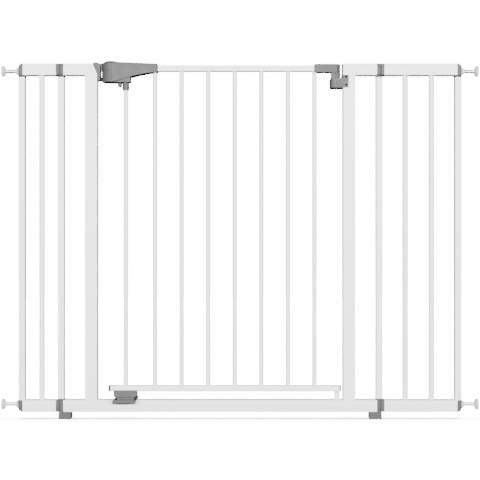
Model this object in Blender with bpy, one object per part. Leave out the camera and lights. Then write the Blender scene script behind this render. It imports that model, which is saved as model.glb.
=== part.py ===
"""A pressure-fit safety gate for a doorway or a stair, with an extension on each side.

The frame is a U of square tube that stays in the doorway: a low bottom rail, two pillars and a top
rail on each side. The door hangs between the pillars on two vertical pins and swings both ways.
Two buttons free the lift-up handle, which draws its nose out of the strike and lifts the lock rod
out of the catch on the bottom rail. Four threaded spindles press rubber pads against the walls.

Metres. +X runs from the latch side to the hinge side, +Y away from the front, +Z up. The origin
is on the floor, in the middle of the whole gate.
"""

import math

import bmesh
import bpy
from mathutils import Vector

# --- Overall ---------------------------------------------------------------------------------
GATE_HEIGHT = 0.762  # floor to the top of the rails
FRAME_WIDTH = 0.688  # between the two seams where the extensions start
LEFT_EXTENSION = 0.088
RIGHT_EXTENSION = 0.173
GAP = 0.0003  # between two pieces that touch

# --- Frame tubes -----------------------------------------------------------------------------
RAIL = 0.025  # square rails, height and depth
TUBE_WALL = 0.0012
TUBE_ROUND = 0.002
FOOT_HEIGHT = 0.016
FOOT_LENGTH = 0.026
FOOT_DEPTH = 0.024
FOOT_ROUND = 0.0035
FOOT_STEP = 0.001  # the foot's outer face stands this far past the seam
PILLAR_WIDTH = 0.026
PILLAR_DEPTH = 0.030
PILLAR_INSET = 0.0548  # seam to the pillar's outer face
UPRIGHT_WIDTH = 0.0135
UPRIGHT_DEPTH = 0.020
UPRIGHT_INSET = 0.0028  # seam to the middle of a frame upright
COLLAR_HEIGHT = 0.0025
FRAME_CAP = 0.008
JOINT_PLUG = 0.0065
END_CAP = 0.009
END_CAP_ROUND = 0.009
SEAM_CHAMFER = 0.0012
SPIGOT_LENGTH = 0.012
SPIGOT_FIT = 0.0004  # from a spigot to the tube wall around it
EXTENSION_BAR = 0.012
LEFT_BARS = 1
RIGHT_BARS = 2

# --- Strike on the latch pillar --------------------------------------------------------------
MITRE_RUN = 0.010
MITRE_CORNER = 0.002  # the mitre starts this far above the rail's underside
STRIKE_THICK = 0.0065
STRIKE_BELOW_TOP = 0.0364
STRIKE_CROWN = 0.0027
STRIKE_SHOULDER = 0.008
POCKET_DEPTH = 0.0042
POCKET_BELOW_TOP = 0.0085
NOSE_CLEARANCE = 0.0008

# --- Door ------------------------------------------------------------------------------------
HINGE_SETBACK = 0.0122  # hinge axis to the hinge pillar's face
DOOR_RAIL_HEIGHT = 0.0125
DOOR_RAIL_DEPTH = 0.018
DOOR_TOP_DROP = 0.0035  # top of the door's top rail below the frame's top
DOOR_LIFT = 0.018  # underside of the door above the bottom rail
BAR = 0.010
BAR_WALL = 0.001
DOOR_BARS = 7
FIRST_BAR_SETBACK = 0.0485  # hinge axis to the nearest bar
ROD_TO_LAST_BAR = 0.0627
ROD_SETBACK = 0.0604  # latch pillar's face to the lock rod
LATCH_END_SETBACK = 0.0282  # latch pillar's face to the end of the bottom rail
HINGE_END_PAST_AXIS = 0.0049
END_PLUG = 0.0038
END_PLUG_ROUND = 0.003
END_PLUG_TONGUE = 0.001

# --- Upper hinge -----------------------------------------------------------------------------
PIN = 0.006
PIN_CLEARANCE = 0.0003
BRACKET_PAST_BAR = 0.001  # the bracket's free end from the nearest bar's axis
BRACKET_HALF_DEPTH = 0.0105
BRACKET_WALL_LOW = 0.0022
BRACKET_WALL_HIGH = 0.0027
BRACKET_ROUND = 0.002
BRACKET_SHOULDER = 0.0055  # hinge axis to where the sleeve meets the post
POST_RADIUS = 0.0073
POST_WEB = 0.0131
HOUSING_HEIGHT = 0.020
HOUSING_TOP_DROP = 0.0325
HOUSING_LENGTH = 0.0274
HOUSING_HALF_DEPTH = 0.0175
HOUSING_ROUND = 0.007
HOUSING_CAVITY = 0.008
HOUSING_ROOF = 0.0035
PLATE_REACH = 0.0113  # past the pillar's face
PLATE_THICK = 0.0022
PLATE_RISE = 0.0073
PLATE_ROUND = 0.002
SCREW_HOLE = 0.0022
SCREW_FROM_EDGE = 0.0058
SCREW_TOP = 0.0038
SCREW_SPACING = 0.0172
LINER_THICK = 0.0011
LINER_HALF_DEPTH = 0.011
LINER_WEDGE = 0.0025  # thicker at its foot, below the bracket that swings past
LINER_WEDGE_HEIGHT = 0.0132
ADJUSTER_RADIUS = 0.0055
ADJUSTER_LIP = 0.0072
ADJUSTER_HEIGHT = 0.0047
ADJUSTER_STANDS_OUT = 0.0014
ADJUSTER_SLOT = 0.0016

# --- Lower hinge -----------------------------------------------------------------------------
BUSH_TOP_RADIUS = 0.0062
BUSH_FOOT_RADIUS = 0.0050
BUSH_DROP = 0.002  # from the door down to the bush
BUSH_BORE_DEPTH = 0.0118

# --- Handle ----------------------------------------------------------------------------------
LEVER_START = 0.0087  # latch pillar's face to the lever's rounded end
LEVER_LENGTH = 0.1211
LEVER_WALL = 0.0024
LEVER_PEAK = 0.0029  # highest part above the frame's top
LEVER_END_DIP = 0.0010
LEVER_BODY_DROP = 0.040  # frame's top to the underside of the barrel
LEVER_SWEEP_START = 0.0257  # where the swept underside starts, from the barrel's end
LEVER_TAIL_DROP = 0.0186
LEVER_SWEEP_POWER = 1.56
LEVER_CHIN_RUN = 0.0015  # clears the strike as the lever lifts
LEVER_CHIN_RISE = 0.009
BARREL_LENGTH = 0.022
BARREL_HALF_DEPTH = 0.018
TAIL_HALF_DEPTH = 0.012
LEVER_ROUND = 0.0016
LEVER_INNER_TOP_DROP = 0.0016
LEVER_PIVOT_SETBACK = 0.0091  # from the lever's tail
LEVER_PIN = 0.005
LEVER_PIN_SKIN = 0.0012
WEB_LOW = 0.020  # frame's top to the underside of the button's floor
WEB_HIGH = 0.016
CAVITY_START = 0.032  # from the barrel's end to the cavity over the door's rail
CAVITY_ROUND = 0.0008
NOSE_REACH = 0.006
NOSE_HALF_WIDTH = 0.005
NOSE_LOW = 0.007
NOSE_HIGH = -0.0012
LOCK_BUTTON_RADIUS = 0.0104
LOCK_BUTTON_SETBACK = 0.0187  # from the barrel's end
LOCK_BUTTON_TOP = 0.0074
LOCK_BUTTON_ROUND = 0.002
LOCK_BUTTON_FLANGE = 0.001
LOCK_BUTTON_FLANGE_HEIGHT = 0.0026
BUTTON_CLEARANCE = 0.0005
HOUSING_END = 0.0712  # handle housing's right end, from the latch pillar's face
HOUSING_START = 0.0197
HOUSING_NOSE = 0.011
HOUSING_FIT = 0.0006
TOWER_START = 0.0435
RAIL_START = 0.0667
TONGUE_LENGTH = 0.014
TONGUE_FIT = 0.0003
FINGER_BUTTON_RADIUS = 0.0048
FINGER_BUTTON_SETBACK = 0.0128  # from the lock rod
FINGER_BUTTON_REACH = 0.010
FINGER_BUTTON_FLANGE = 0.0011
FINGER_BUTTON_FLANGE_HEIGHT = 0.0016
FINGER_LIP = 0.002
FINGER_WELL_TOP = 0.0207
COLLAR_RADIUS = 0.007
COLLAR_LENGTH = 0.0162
ROD_CLEARANCE = 0.0004
ROD_TOP_DROP = 0.021
ROD_WALL = 0.0012
ROD_BORE_DEPTH = 0.640
TOWER_ROOF = 0.0013
LIFT_PIN = 0.004
LIFT_PIN_DROP = 0.0255
LIFT_PIN_HALF = 0.0122
LUG_BEFORE_ROD = 0.0012
LUG_PAST_ROD = 0.003  # the lug moves towards the latch as it rises
LUG_HEIGHT = 0.0026
LUG_REACH = 0.0026
SLOT_HALF = 0.0042
ROD_TRAVEL = 0.0095

# --- Lower latch -----------------------------------------------------------------------------
GUIDE_BEFORE_ROD = 0.0234
GUIDE_PAST_ROD = 0.0225
GUIDE_HEIGHT = 0.0113
GUIDE_HALF_DEPTH = 0.015
GUIDE_CHAMFER = 0.003
CATCH_BEFORE_ROD = 0.0252
CATCH_PAST_ROD = 0.0232
CATCH_HALF_DEPTH = 0.040
CATCH_TOP = 0.0016
CATCH_SHELF = 0.0056
CATCH_ROUND = 0.0025
RIDGE_INNER = 0.008
RIDGE_OUTER = 0.012
RIDGE_HEIGHT = 0.0041
RIDGE_HALF_LENGTH = 0.018
ROD_TIP_GAP = 0.0007

# --- Wall spindles ---------------------------------------------------------------------------
SPINDLE_REACH = 0.0375
SPINDLE_ROD = 0.008
SPINDLE_FIT = 0.0004
SPINDLE_INSIDE = 0.050
SPINDLE_OFF_CENTRE = 0.0030
PAD_RADIUS = 0.01175
PAD_THICK = 0.0060
PAD_BACK = 0.0025
PAD_ROUND = 0.002
NUT_RADIUS = 0.009
NUT_HUB = 0.0062
NUT_FLANGE = 0.0035
NUT_HEIGHT = 0.007
NUT_LOBES = 12
NUT_LOBE_DEPTH = 0.0005

# --- Springs ---------------------------------------------------------------------------------
SPRING_POINTS_A_TURN = 10
HINGE_SPRING = (0.0055, 0.0007, 5)  # coil radius, wire radius, turns
BUTTON_SPRING = (0.0070, 0.0005, 4)
FINGER_SPRING = (0.0040, 0.0004, 5)

# --- Worked out from the sizes above ---------------------------------------------------------
LEFT_END = -(LEFT_EXTENSION + FRAME_WIDTH + RIGHT_EXTENSION) / 2
LEFT_SEAM = LEFT_END + LEFT_EXTENSION
RIGHT_SEAM = LEFT_SEAM + FRAME_WIDTH
RIGHT_END = RIGHT_SEAM + RIGHT_EXTENSION
LATCH_FACE = LEFT_SEAM + PILLAR_INSET + PILLAR_WIDTH
HINGE_FACE = RIGHT_SEAM - PILLAR_INSET - PILLAR_WIDTH
HINGE_X = HINGE_FACE - HINGE_SETBACK
ROD_X = LATCH_FACE + ROD_SETBACK
BOTTOM_TOP = FOOT_HEIGHT + RAIL
RAIL_LOW = GATE_HEIGHT - RAIL
DOOR_HIGH = GATE_HEIGHT - DOOR_TOP_DROP
DOOR_HIGH_LOW = DOOR_HIGH - DOOR_RAIL_HEIGHT
DOOR_LOW = BOTTOM_TOP + DOOR_LIFT
DOOR_LOW_HIGH = DOOR_LOW + DOOR_RAIL_HEIGHT
FIRST_BAR_X = HINGE_X - FIRST_BAR_SETBACK
BAR_PITCH = (FIRST_BAR_X - ROD_X - ROD_TO_LAST_BAR) / (DOOR_BARS - 1)
LEVER_LEFT = LATCH_FACE + LEVER_START
LEVER_RIGHT = LEVER_LEFT + LEVER_LENGTH
LEVER_PIVOT_X = LEVER_RIGHT - LEVER_PIVOT_SETBACK
LEVER_PIVOT_Z = (DOOR_HIGH + DOOR_HIGH_LOW) / 2
LEVER_INNER_TOP = GATE_HEIGHT - LEVER_INNER_TOP_DROP
LEVER_BOTTOM = GATE_HEIGHT - LEVER_BODY_DROP
BUTTON_X = LEVER_LEFT + LOCK_BUTTON_SETBACK
FINGER_X = ROD_X - FINGER_BUTTON_SETBACK
HOUSING_HIGH = GATE_HEIGHT - HOUSING_TOP_DROP
HOUSING_LOW = HOUSING_HIGH - HOUSING_HEIGHT
HOUSING_RIGHT = HINGE_FACE - GAP
UPPER_SPINDLE_Z = GATE_HEIGHT - RAIL / 2 - SPINDLE_OFF_CENTRE
LOWER_SPINDLE_Z = FOOT_HEIGHT + RAIL / 2 + SPINDLE_OFF_CENTRE

SMOOTH_ANGLE = math.radians(35)
ROUND_STEPS = 16
FINE_STEPS = 24


# --- Scene helpers ---------------------------------------------------------------------------


class Body:
    """A rigid group: an empty on its joint's axis that its pieces ride on."""

    def __init__(self, name, place=(0, 0, 0), parent=None):
        self.place = Vector(place)
        self.empty = bpy.data.objects.new(name, None)
        self.empty.empty_display_size = 0.02
        self.empty.location = self.place - (parent.place if parent else Vector())
        self.empty.parent = parent.empty if parent else None
        bpy.context.scene.collection.objects.link(self.empty)


def clear_scene():
    for obj in list(bpy.data.objects):
        bpy.data.objects.remove(obj)


def principled(name, colour, roughness, metallic=0.0):
    made = bpy.data.materials.new(name)
    made.use_nodes = True
    shader = made.node_tree.nodes["Principled BSDF"]
    shader.inputs["Base Color"].default_value = (*colour, 1)
    shader.inputs["Roughness"].default_value = roughness
    shader.inputs["Metallic"].default_value = metallic
    return made


def place_object(name, shape, body):
    """The bmesh as an object under the body's empty, with its origin on the body's joint."""
    bmesh.ops.recalc_face_normals(shape, faces=shape.faces)
    if shape.calc_volume(signed=True) < 0:
        bmesh.ops.reverse_faces(shape, faces=shape.faces)
    bmesh.ops.translate(shape, vec=-body.place, verts=shape.verts)
    mesh = bpy.data.meshes.new(name)
    shape.to_mesh(mesh)
    shape.free()
    mesh.shade_smooth()
    mesh.set_sharp_from_angle(angle=SMOOTH_ANGLE)
    obj = bpy.data.objects.new(name, mesh)
    obj.parent = body.empty
    bpy.context.scene.collection.objects.link(obj)
    return obj


def piece(name, shape, look, body):
    obj = place_object(name, shape, body)
    obj.data.materials.append(look)
    return obj


def combine(obj, operation, shape, body):
    """Cut a helper shape from a piece, or fuse it on, with a live Boolean."""
    helper = place_object(f"{operation.lower()}_{obj.name}_{len(obj.modifiers) + 1}", shape, body)
    helper.hide_render = True
    helper.display_type = "WIRE"
    modifier = obj.modifiers.new(helper.name, "BOOLEAN")
    modifier.operation = operation
    modifier.object = helper


def cut(obj, shape, body):
    combine(obj, "DIFFERENCE", shape, body)


def fuse(obj, shape, body):
    combine(obj, "UNION", shape, body)


# --- Shape helpers: each adds one closed solid to a bmesh, or starts a new one ----------------


def rounded_outline(low_u, high_u, low_v, high_v, radii, steps=3):
    """A rectangle with its own radius at each corner, in the order ++, -+, --, +-."""
    corners = [(high_u, high_v), (low_u, high_v), (low_u, low_v), (high_u, low_v)]
    points = []
    for quarter, ((u, v), radius) in enumerate(zip(corners, radii)):
        centre_u = u - math.copysign(radius, u - (low_u + high_u) / 2)
        centre_v = v - math.copysign(radius, v - (low_v + high_v) / 2)
        if radius == 0:
            points.append((u, v))
            continue
        for step in range(steps + 1):
            angle = math.radians(90) * (quarter + step / steps)
            points.append((centre_u + radius * math.cos(angle), centre_v + radius * math.sin(angle)))
    return points


def circle(centre_u, centre_v, radius, steps=ROUND_STEPS):
    turns = [2 * math.pi * step / steps for step in range(steps)]
    return [(centre_u + radius * math.cos(a), centre_v + radius * math.sin(a)) for a in turns]


def at(axis, u, v, along):
    """A point from its two coordinates across an axis and its place along it."""
    return {"X": (along, u, v), "Y": (u, along, v), "Z": (u, v, along)}[axis]


def skin(shape, rings, wrap=False):
    """Quads between rings of equal length, closed by a face at each end unless the rings wrap."""
    rows = [[shape.verts.new(point) for point in ring] for ring in rings]
    pairs = list(zip(rows, rows[1:])) + ([(rows[-1], rows[0])] if wrap else [])
    for one, other in pairs:
        for index in range(len(one)):
            after = (index + 1) % len(one)
            shape.faces.new((one[index], one[after], other[after], other[index]))
    if not wrap:
        shape.faces.new(rows[0][::-1])
        shape.faces.new(rows[-1])
    return shape


def prism(axis, outline, low, high, shape=None):
    rings = [[at(axis, u, v, along) for u, v in outline] for along in (low, high)]
    return skin(shape or bmesh.new(), rings)


def block(low_x, high_x, low_y, high_y, low_z, high_z, shape=None):
    outline = [(high_y, high_z), (low_y, high_z), (low_y, low_z), (high_y, low_z)]
    return prism("X", outline, low_x, high_x, shape)


def tube(axis, outer, inner, low, high, shape=None):
    """A straight open-ended tube with two outlines of equal length."""
    rings = [
        [at(axis, u, v, along) for u, v in outline]
        for outline, along in ((outer, low), (outer, high), (inner, high), (inner, low))
    ]
    return skin(shape or bmesh.new(), rings, wrap=True)


def square_tube(axis, low_u, high_u, low_v, high_v, low, high, shape=None):
    outer = rounded_outline(low_u, high_u, low_v, high_v, [TUBE_ROUND] * 4)
    wall = TUBE_WALL
    inside = rounded_outline(
        low_u + wall, high_u - wall, low_v + wall, high_v - wall, [TUBE_ROUND - wall] * 4
    )
    return tube(axis, outer, inside, low, high, shape)


def round_bar(x, diameter, wall, low, high):
    outer = circle(x, 0, diameter / 2)
    return tube("Z", outer, circle(x, 0, diameter / 2 - wall), low, high)


def turned(axis, centre, profile, steps=ROUND_STEPS, ring=False, direction=1, lobes=None):
    """A solid of revolution from (radius, height) points, along an axis through the centre.

    A plain profile has its first and last points on the axis. A ring's profile is a closed loop.
    """
    shape = bmesh.new()
    inner = profile if ring else profile[1:-1]
    rows = []
    for radius, height in inner:
        swell = lobes if lobes and radius >= lobes[1] else (0, 0)
        points = []
        for step in range(steps):
            angle = 2 * math.pi * step / steps
            reach = radius + swell[2] * math.cos(swell[0] * angle) if swell[0] else radius
            points.append((reach * math.cos(angle), reach * math.sin(angle), direction * height))
        rows.append(points)
    skin(shape, rows, wrap=ring)
    if not ring:
        shape.faces.ensure_lookup_table()
        ends = list(shape.faces)[-2:]
        for face, height in zip(ends, (profile[0][1], profile[-1][1])):
            pole = bmesh.ops.poke(shape, faces=[face])["verts"][0]
            pole.co = (0, 0, direction * height)
    turn = {"X": lambda p: (p[2], p[0], p[1]), "Y": lambda p: (p[0], p[2], p[1]), "Z": lambda p: p}
    for vertex in shape.verts:
        vertex.co = Vector(turn[axis](tuple(vertex.co))) + Vector(centre)
    return shape


def rod_shape(axis, centre, radius, low, high, steps=ROUND_STEPS):
    return prism(axis, circle(*across(axis, centre), radius, steps), low, high)


def across(axis, centre):
    """The two coordinates of a centre across an axis."""
    return [value for name, value in zip("XYZ", centre) if name != axis]


def coil(name, x, low, high, size, look, body):
    """An open coil spring about a vertical axis, with a turn of flat wire at each end."""
    coil_radius, wire, turns = size
    count = turns * SPRING_POINTS_A_TURN
    curve = bpy.data.curves.new(name, "CURVE")
    curve.dimensions = "3D"
    curve.bevel_depth = wire
    curve.bevel_resolution = 1
    curve.use_fill_caps = True
    line = curve.splines.new("POLY")
    line.points.add(count)
    for index, point in enumerate(line.points):
        angle = 2 * math.pi * turns * index / count
        share = min(max((index / count * turns - 0.5) / (turns - 1), 0), 1)
        height = low + wire + (high - low - 2 * wire) * share
        place = Vector((x + coil_radius * math.cos(angle), coil_radius * math.sin(angle), height))
        point.co = (*(place - body.place), 1)
    curve.materials.append(look)
    obj = bpy.data.objects.new(name, curve)
    obj.parent = body.empty
    bpy.context.scene.collection.objects.link(obj)


# --- Frame -----------------------------------------------------------------------------------


def rail_tube(low_x, high_x, low_z, shape=None):
    half = RAIL / 2
    return square_tube("X", -half, half, low_z, low_z + RAIL, low_x, high_x, shape)


def upright_tube(x, low_z, shape=None):
    wide, deep = UPRIGHT_WIDTH / 2, UPRIGHT_DEPTH / 2
    return square_tube("Z", x - wide, x + wide, -deep, deep, low_z, RAIL_LOW - GAP, shape)


def spigot(start, end, low_z):
    """The part of a plastic cap that is pushed into a rail."""
    inset = TUBE_WALL + SPIGOT_FIT
    half = RAIL / 2 - inset
    return block(
        min(start, end),
        max(start, end),
        -half,
        half,
        low_z + inset,
        low_z + RAIL - inset,
    )


def coupler_outline(seam, inward, low_z):
    """A coupler seen from the front: a frame cap and an extension plug, with a V groove at the seam."""
    frame_end, plug_end = seam + inward * FRAME_CAP, seam - inward * JOINT_PLUG
    notch = SEAM_CHAMFER
    high_z = low_z + RAIL
    upper = [(frame_end, high_z), (seam + inward * notch, high_z), (seam, high_z - notch)]
    upper += [(seam - inward * notch, high_z), (plug_end, high_z)]
    lower = [(x, 2 * low_z + RAIL - z) for x, z in upper[::-1]]
    return upper + lower


def make_frame_tubes(paint, frame):
    start = LEFT_SEAM + FRAME_CAP + GAP
    end = RIGHT_SEAM - FRAME_CAP - GAP
    piece("bottom_rail", rail_tube(start, end, FOOT_HEIGHT), paint, frame)
    left_rail = rail_tube(start, LATCH_FACE, RAIL_LOW)
    slope = MITRE_RUN / (RAIL - MITRE_CORNER)
    for vertex in left_rail.verts:
        above = vertex.co.z - RAIL_LOW - MITRE_CORNER
        if vertex.co.x > LATCH_FACE - GAP and above > 0:
            vertex.co.x -= slope * above
    piece("left_top_rail", left_rail, paint, frame)
    piece("right_top_rail", rail_tube(HINGE_FACE, end, RAIL_LOW), paint, frame)
    half = PILLAR_DEPTH / 2
    for name, low_x in (("left_pillar", LATCH_FACE - PILLAR_WIDTH), ("right_pillar", HINGE_FACE)):
        low_z, high_z = BOTTOM_TOP + GAP, RAIL_LOW - GAP
        shape = square_tube("Z", low_x, low_x + PILLAR_WIDTH, -half, half, low_z, high_z)
        piece(name, shape, paint, frame)
    foot_z = BOTTOM_TOP + COLLAR_HEIGHT + 2 * GAP
    piece("left_upright", upright_tube(LEFT_SEAM + UPRIGHT_INSET, foot_z), paint, frame)
    piece("right_upright", upright_tube(RIGHT_SEAM - UPRIGHT_INSET, foot_z), paint, frame)


def make_couplers(side, inward, seam, plastic, frame):
    """The two couplers at a seam. The lower one carries a foot and the collar of an upright."""
    half = RAIL / 2
    frame_end, plug_end = seam + inward * FRAME_CAP, seam - inward * JOINT_PLUG
    for level, low_z in (("upper", RAIL_LOW), ("foot", FOOT_HEIGHT)):
        shape = prism("Y", coupler_outline(seam, inward, low_z), -half, half)
        coupler = piece(f"{side}_{level}_coupler", shape, plastic, frame)
        fuse(coupler, spigot(frame_end - inward * GAP, frame_end + inward * SPIGOT_LENGTH, low_z), frame)
        fuse(coupler, spigot(plug_end + inward * GAP, plug_end - inward * SPIGOT_LENGTH, low_z), frame)
    outer = seam - inward * FOOT_STEP
    foot_end = outer + inward * FOOT_LENGTH
    foot = rounded_outline(
        min(outer, foot_end), max(outer, foot_end), 0, FOOT_HEIGHT - GAP, [0, 0, FOOT_ROUND, FOOT_ROUND]
    )
    fuse(coupler, prism("Y", foot, -FOOT_DEPTH / 2, FOOT_DEPTH / 2), frame)
    low_x, high_x = sorted((seam + inward * GAP, frame_end - inward * GAP))
    bridge = half - FOOT_ROUND
    fuse(coupler, block(low_x, high_x, -bridge, bridge, FOOT_HEIGHT / 2, FOOT_HEIGHT + SEAM_CHAMFER), frame)
    middle = seam + inward * UPRIGHT_INSET
    collar = (middle - UPRIGHT_WIDTH / 2, middle + UPRIGHT_WIDTH / 2)
    deep = UPRIGHT_DEPTH / 2
    low_z = BOTTOM_TOP + GAP
    fuse(coupler, block(*collar, -deep, deep, low_z, low_z + COLLAR_HEIGHT), frame)
    neck = deep / 2
    fuse(coupler, block(low_x, high_x, -neck, neck, BOTTOM_TOP - SEAM_CHAMFER, low_z + GAP), frame)


def make_strike(plastic, frame):
    """The strike on the latch pillar: it fills the mitred corner and holds an open-topped pocket."""
    face = LATCH_FACE + GAP
    right = LATCH_FACE + STRIKE_THICK
    top = GATE_HEIGHT + STRIKE_CROWN
    mitre_foot = RAIL_LOW + MITRE_CORNER
    outline = [
        (face, GATE_HEIGHT - STRIKE_BELOW_TOP),
        (right, GATE_HEIGHT - STRIKE_BELOW_TOP),
        (right, GATE_HEIGHT - GAP),
        (LATCH_FACE - STRIKE_SHOULDER / 4, top),
        (LATCH_FACE - STRIKE_SHOULDER, top),
        (LATCH_FACE - MITRE_RUN + 2 * GAP, GATE_HEIGHT),
        (face, mitre_foot),
    ]
    half = RAIL / 2
    strike = piece("strike_plate", prism("Y", outline, -half, half), plastic, frame)
    pocket = NOSE_HALF_WIDTH + NOSE_CLEARANCE
    low_z = GATE_HEIGHT - POCKET_BELOW_TOP
    cut(strike, block(right - POCKET_DEPTH, right + RAIL, -pocket, pocket, low_z, top + RAIL), frame)


def make_lower_catch(plastic, frame):
    """The catch on the bottom rail: a plate with a shelf at each side and two low ridges."""
    low_x, high_x = ROD_X - CATCH_BEFORE_ROD, ROD_X + CATCH_PAST_ROD
    top = BOTTOM_TOP + CATCH_TOP
    half = RAIL / 2 + GAP
    base = top - CATCH_SHELF
    reach, radius = CATCH_HALF_DEPTH, CATCH_ROUND
    section = [(half, base), (half, BOTTOM_TOP + GAP), (-half, BOTTOM_TOP + GAP), (-half, base)]
    nose = rounded_outline(-reach, reach, base, top, [radius] * 4)
    upper = [point for point in nose if point[1] > (base + top) / 2]
    lower_left = [point for point in nose if point[1] <= (base + top) / 2 and point[0] < 0]
    lower_right = [point for point in nose if point[1] <= (base + top) / 2 and point[0] > 0]
    outline = upper + lower_left + section[::-1] + lower_right
    catch = piece("lower_catch", prism("X", outline, low_x, high_x), plastic, frame)
    for side in (-1, 1):
        near, far = sorted((side * RIDGE_INNER, side * RIDGE_OUTER))
        ridge = rounded_outline(near, far, top - GAP, top + RIDGE_HEIGHT, [0.001, 0.001, 0, 0])
        span = (ROD_X - RIDGE_HALF_LENGTH, ROD_X + RIDGE_HALF_LENGTH)
        fuse(catch, prism("X", ridge, *span), frame)


def make_hinge_housing(plastic, frame):
    """The upper hinge's fixed half: a housing for the spring, clamped to the pillar by plates."""
    left = HOUSING_RIGHT - HOUSING_LENGTH
    half = HOUSING_HALF_DEPTH
    radii = [0, HOUSING_ROUND, HOUSING_ROUND, 0]
    outline = rounded_outline(left, HOUSING_RIGHT, -half, half, radii)
    body = prism("Z", outline, HOUSING_LOW, HOUSING_HIGH)
    housing = piece("hinge_housing", body, plastic, frame)
    plate_top = HOUSING_HIGH + PLATE_RISE
    screw_x = HINGE_FACE + SCREW_FROM_EDGE
    for side in (-1, 1):
        outer = side * half
        near, far = sorted((outer, side * (half - PLATE_THICK)))
        face = rounded_outline(
            HINGE_FACE - 2 * GAP, HINGE_FACE + PLATE_REACH, HOUSING_LOW + GAP, plate_top,
            [PLATE_ROUND, 0, 0, PLATE_ROUND],
        )
        fuse(housing, prism("Y", face, near, far), frame)
        for drop in (SCREW_TOP, SCREW_TOP + SCREW_SPACING):
            centre = (screw_x, 0, plate_top - drop)
            ends = sorted((side * (half - 2 * PLATE_THICK), side * (half + PLATE_THICK)))
            cut(housing, rod_shape("Y", centre, SCREW_HOLE, *ends, 12), frame)
    liner = [
        (HOUSING_RIGHT, HOUSING_HIGH - GAP),
        (HOUSING_RIGHT, GATE_HEIGHT),
        (HOUSING_RIGHT - LINER_THICK, GATE_HEIGHT),
        (HOUSING_RIGHT - LINER_THICK, HOUSING_HIGH + LINER_WEDGE_HEIGHT),
        (HOUSING_RIGHT - LINER_THICK - LINER_WEDGE, HOUSING_HIGH - GAP),
    ]
    fuse(housing, prism("Y", liner, -LINER_HALF_DEPTH, LINER_HALF_DEPTH), frame)
    axis = (HINGE_X, 0, 0)
    roof = HOUSING_HIGH - HOUSING_ROOF
    cut(housing, rod_shape("Z", axis, HOUSING_CAVITY, HOUSING_LOW - RAIL, roof), frame)
    bore = PIN / 2 + PIN_CLEARANCE
    cut(housing, rod_shape("Z", axis, bore, roof - RAIL, HOUSING_HIGH + RAIL), frame)


def weld_lower_bush(frame):
    """The tapered bush that is welded on the bottom rail and takes the door's lower pin."""
    top, foot = DOOR_LOW - BUSH_DROP, BOTTOM_TOP - TUBE_WALL / 2
    bore = PIN / 2 + PIN_CLEARANCE
    floor = top - BUSH_BORE_DEPTH
    profile = [(0, foot), (BUSH_FOOT_RADIUS, foot), (BUSH_TOP_RADIUS, top)]
    profile += [(bore, top), (bore, floor), (0, floor)]
    fuse(bpy.data.objects["bottom_rail"], turned("Z", (HINGE_X, 0, 0), profile), frame)


def make_tension_adjuster(plastic, frame):
    low = HOUSING_LOW - ADJUSTER_STANDS_OUT
    body = Body("tension_adjuster_turn", (HINGE_X, 0, low), frame)
    shoulder = HOUSING_LOW + GAP
    high = low + ADJUSTER_HEIGHT
    profile = [(0, low), (ADJUSTER_RADIUS, low), (ADJUSTER_RADIUS, shoulder), (ADJUSTER_LIP, shoulder),
               (ADJUSTER_LIP, high), (0, high)]
    adjuster = piece("tension_adjuster", turned("Z", (HINGE_X, 0, 0), profile), plastic, body)
    half = ADJUSTER_SLOT / 2
    reach = ADJUSTER_RADIUS - ADJUSTER_SLOT
    slot = block(HINGE_X - reach, HINGE_X + reach, -half, half, low - RAIL, low + ADJUSTER_SLOT / 2)
    cut(adjuster, slot, body)
    return high


# --- Extensions ------------------------------------------------------------------------------


def make_extension(side, outward, seam, end, bars, paint, plastic, frame):
    """One extension: two rails, an upright, its bars and the end caps."""
    tube_end = end - outward * (END_CAP + GAP)
    tube_start = seam + outward * (JOINT_PLUG + GAP)
    low_x, high_x = min(tube_start, tube_end), max(tube_start, tube_end)
    piece(f"{side}_extension_top_rail", rail_tube(low_x, high_x, RAIL_LOW), paint, frame)
    piece(f"{side}_extension_bottom_rail", rail_tube(low_x, high_x, FOOT_HEIGHT), paint, frame)
    upright_x = end - outward * UPRIGHT_WIDTH / 2
    piece(f"{side}_extension_upright", upright_tube(upright_x, BOTTOM_TOP + GAP), paint, frame)
    frame_upright_x = seam - outward * UPRIGHT_INSET
    for number in range(1, bars + 1):
        x = frame_upright_x + (upright_x - frame_upright_x) * number / (bars + 1)
        shape = round_bar(x, EXTENSION_BAR, BAR_WALL, BOTTOM_TOP + GAP, RAIL_LOW - GAP)
        piece(f"{side}_extension_bar" + (f"_{number}" if bars > 1 else ""), shape, paint, frame)
    make_end_cap(f"{side}_upper", outward, end, RAIL_LOW, True, plastic, frame)
    make_end_cap(f"{side}_lower", outward, end, FOOT_HEIGHT, False, plastic, frame)


def make_end_cap(name, outward, end, low_z, top, plastic, frame):
    """A cap with one round corner, a spigot in the rail and a bore for the wall spindle."""
    inner = end - outward * END_CAP
    radii = [0, 0, 0, 0]
    radii[{(1, True): 0, (-1, True): 1, (-1, False): 2, (1, False): 3}[outward, top]] = END_CAP_ROUND - GAP
    outline = rounded_outline(min(inner, end), max(inner, end), low_z, low_z + RAIL, radii, steps=4)
    cap = piece(f"{name}_end_cap", prism("Y", outline, -RAIL / 2, RAIL / 2), plastic, frame)
    fuse(cap, spigot(inner + outward * GAP, inner - outward * SPIGOT_LENGTH, low_z), frame)
    span = sorted((end + outward * RAIL, inner - outward * RAIL))
    axis_z = UPPER_SPINDLE_Z if top else LOWER_SPINDLE_Z
    cut(cap, rod_shape("X", (0, 0, axis_z), SPINDLE_ROD / 2 + SPINDLE_FIT, *span), frame)


# --- Door ------------------------------------------------------------------------------------


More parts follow.
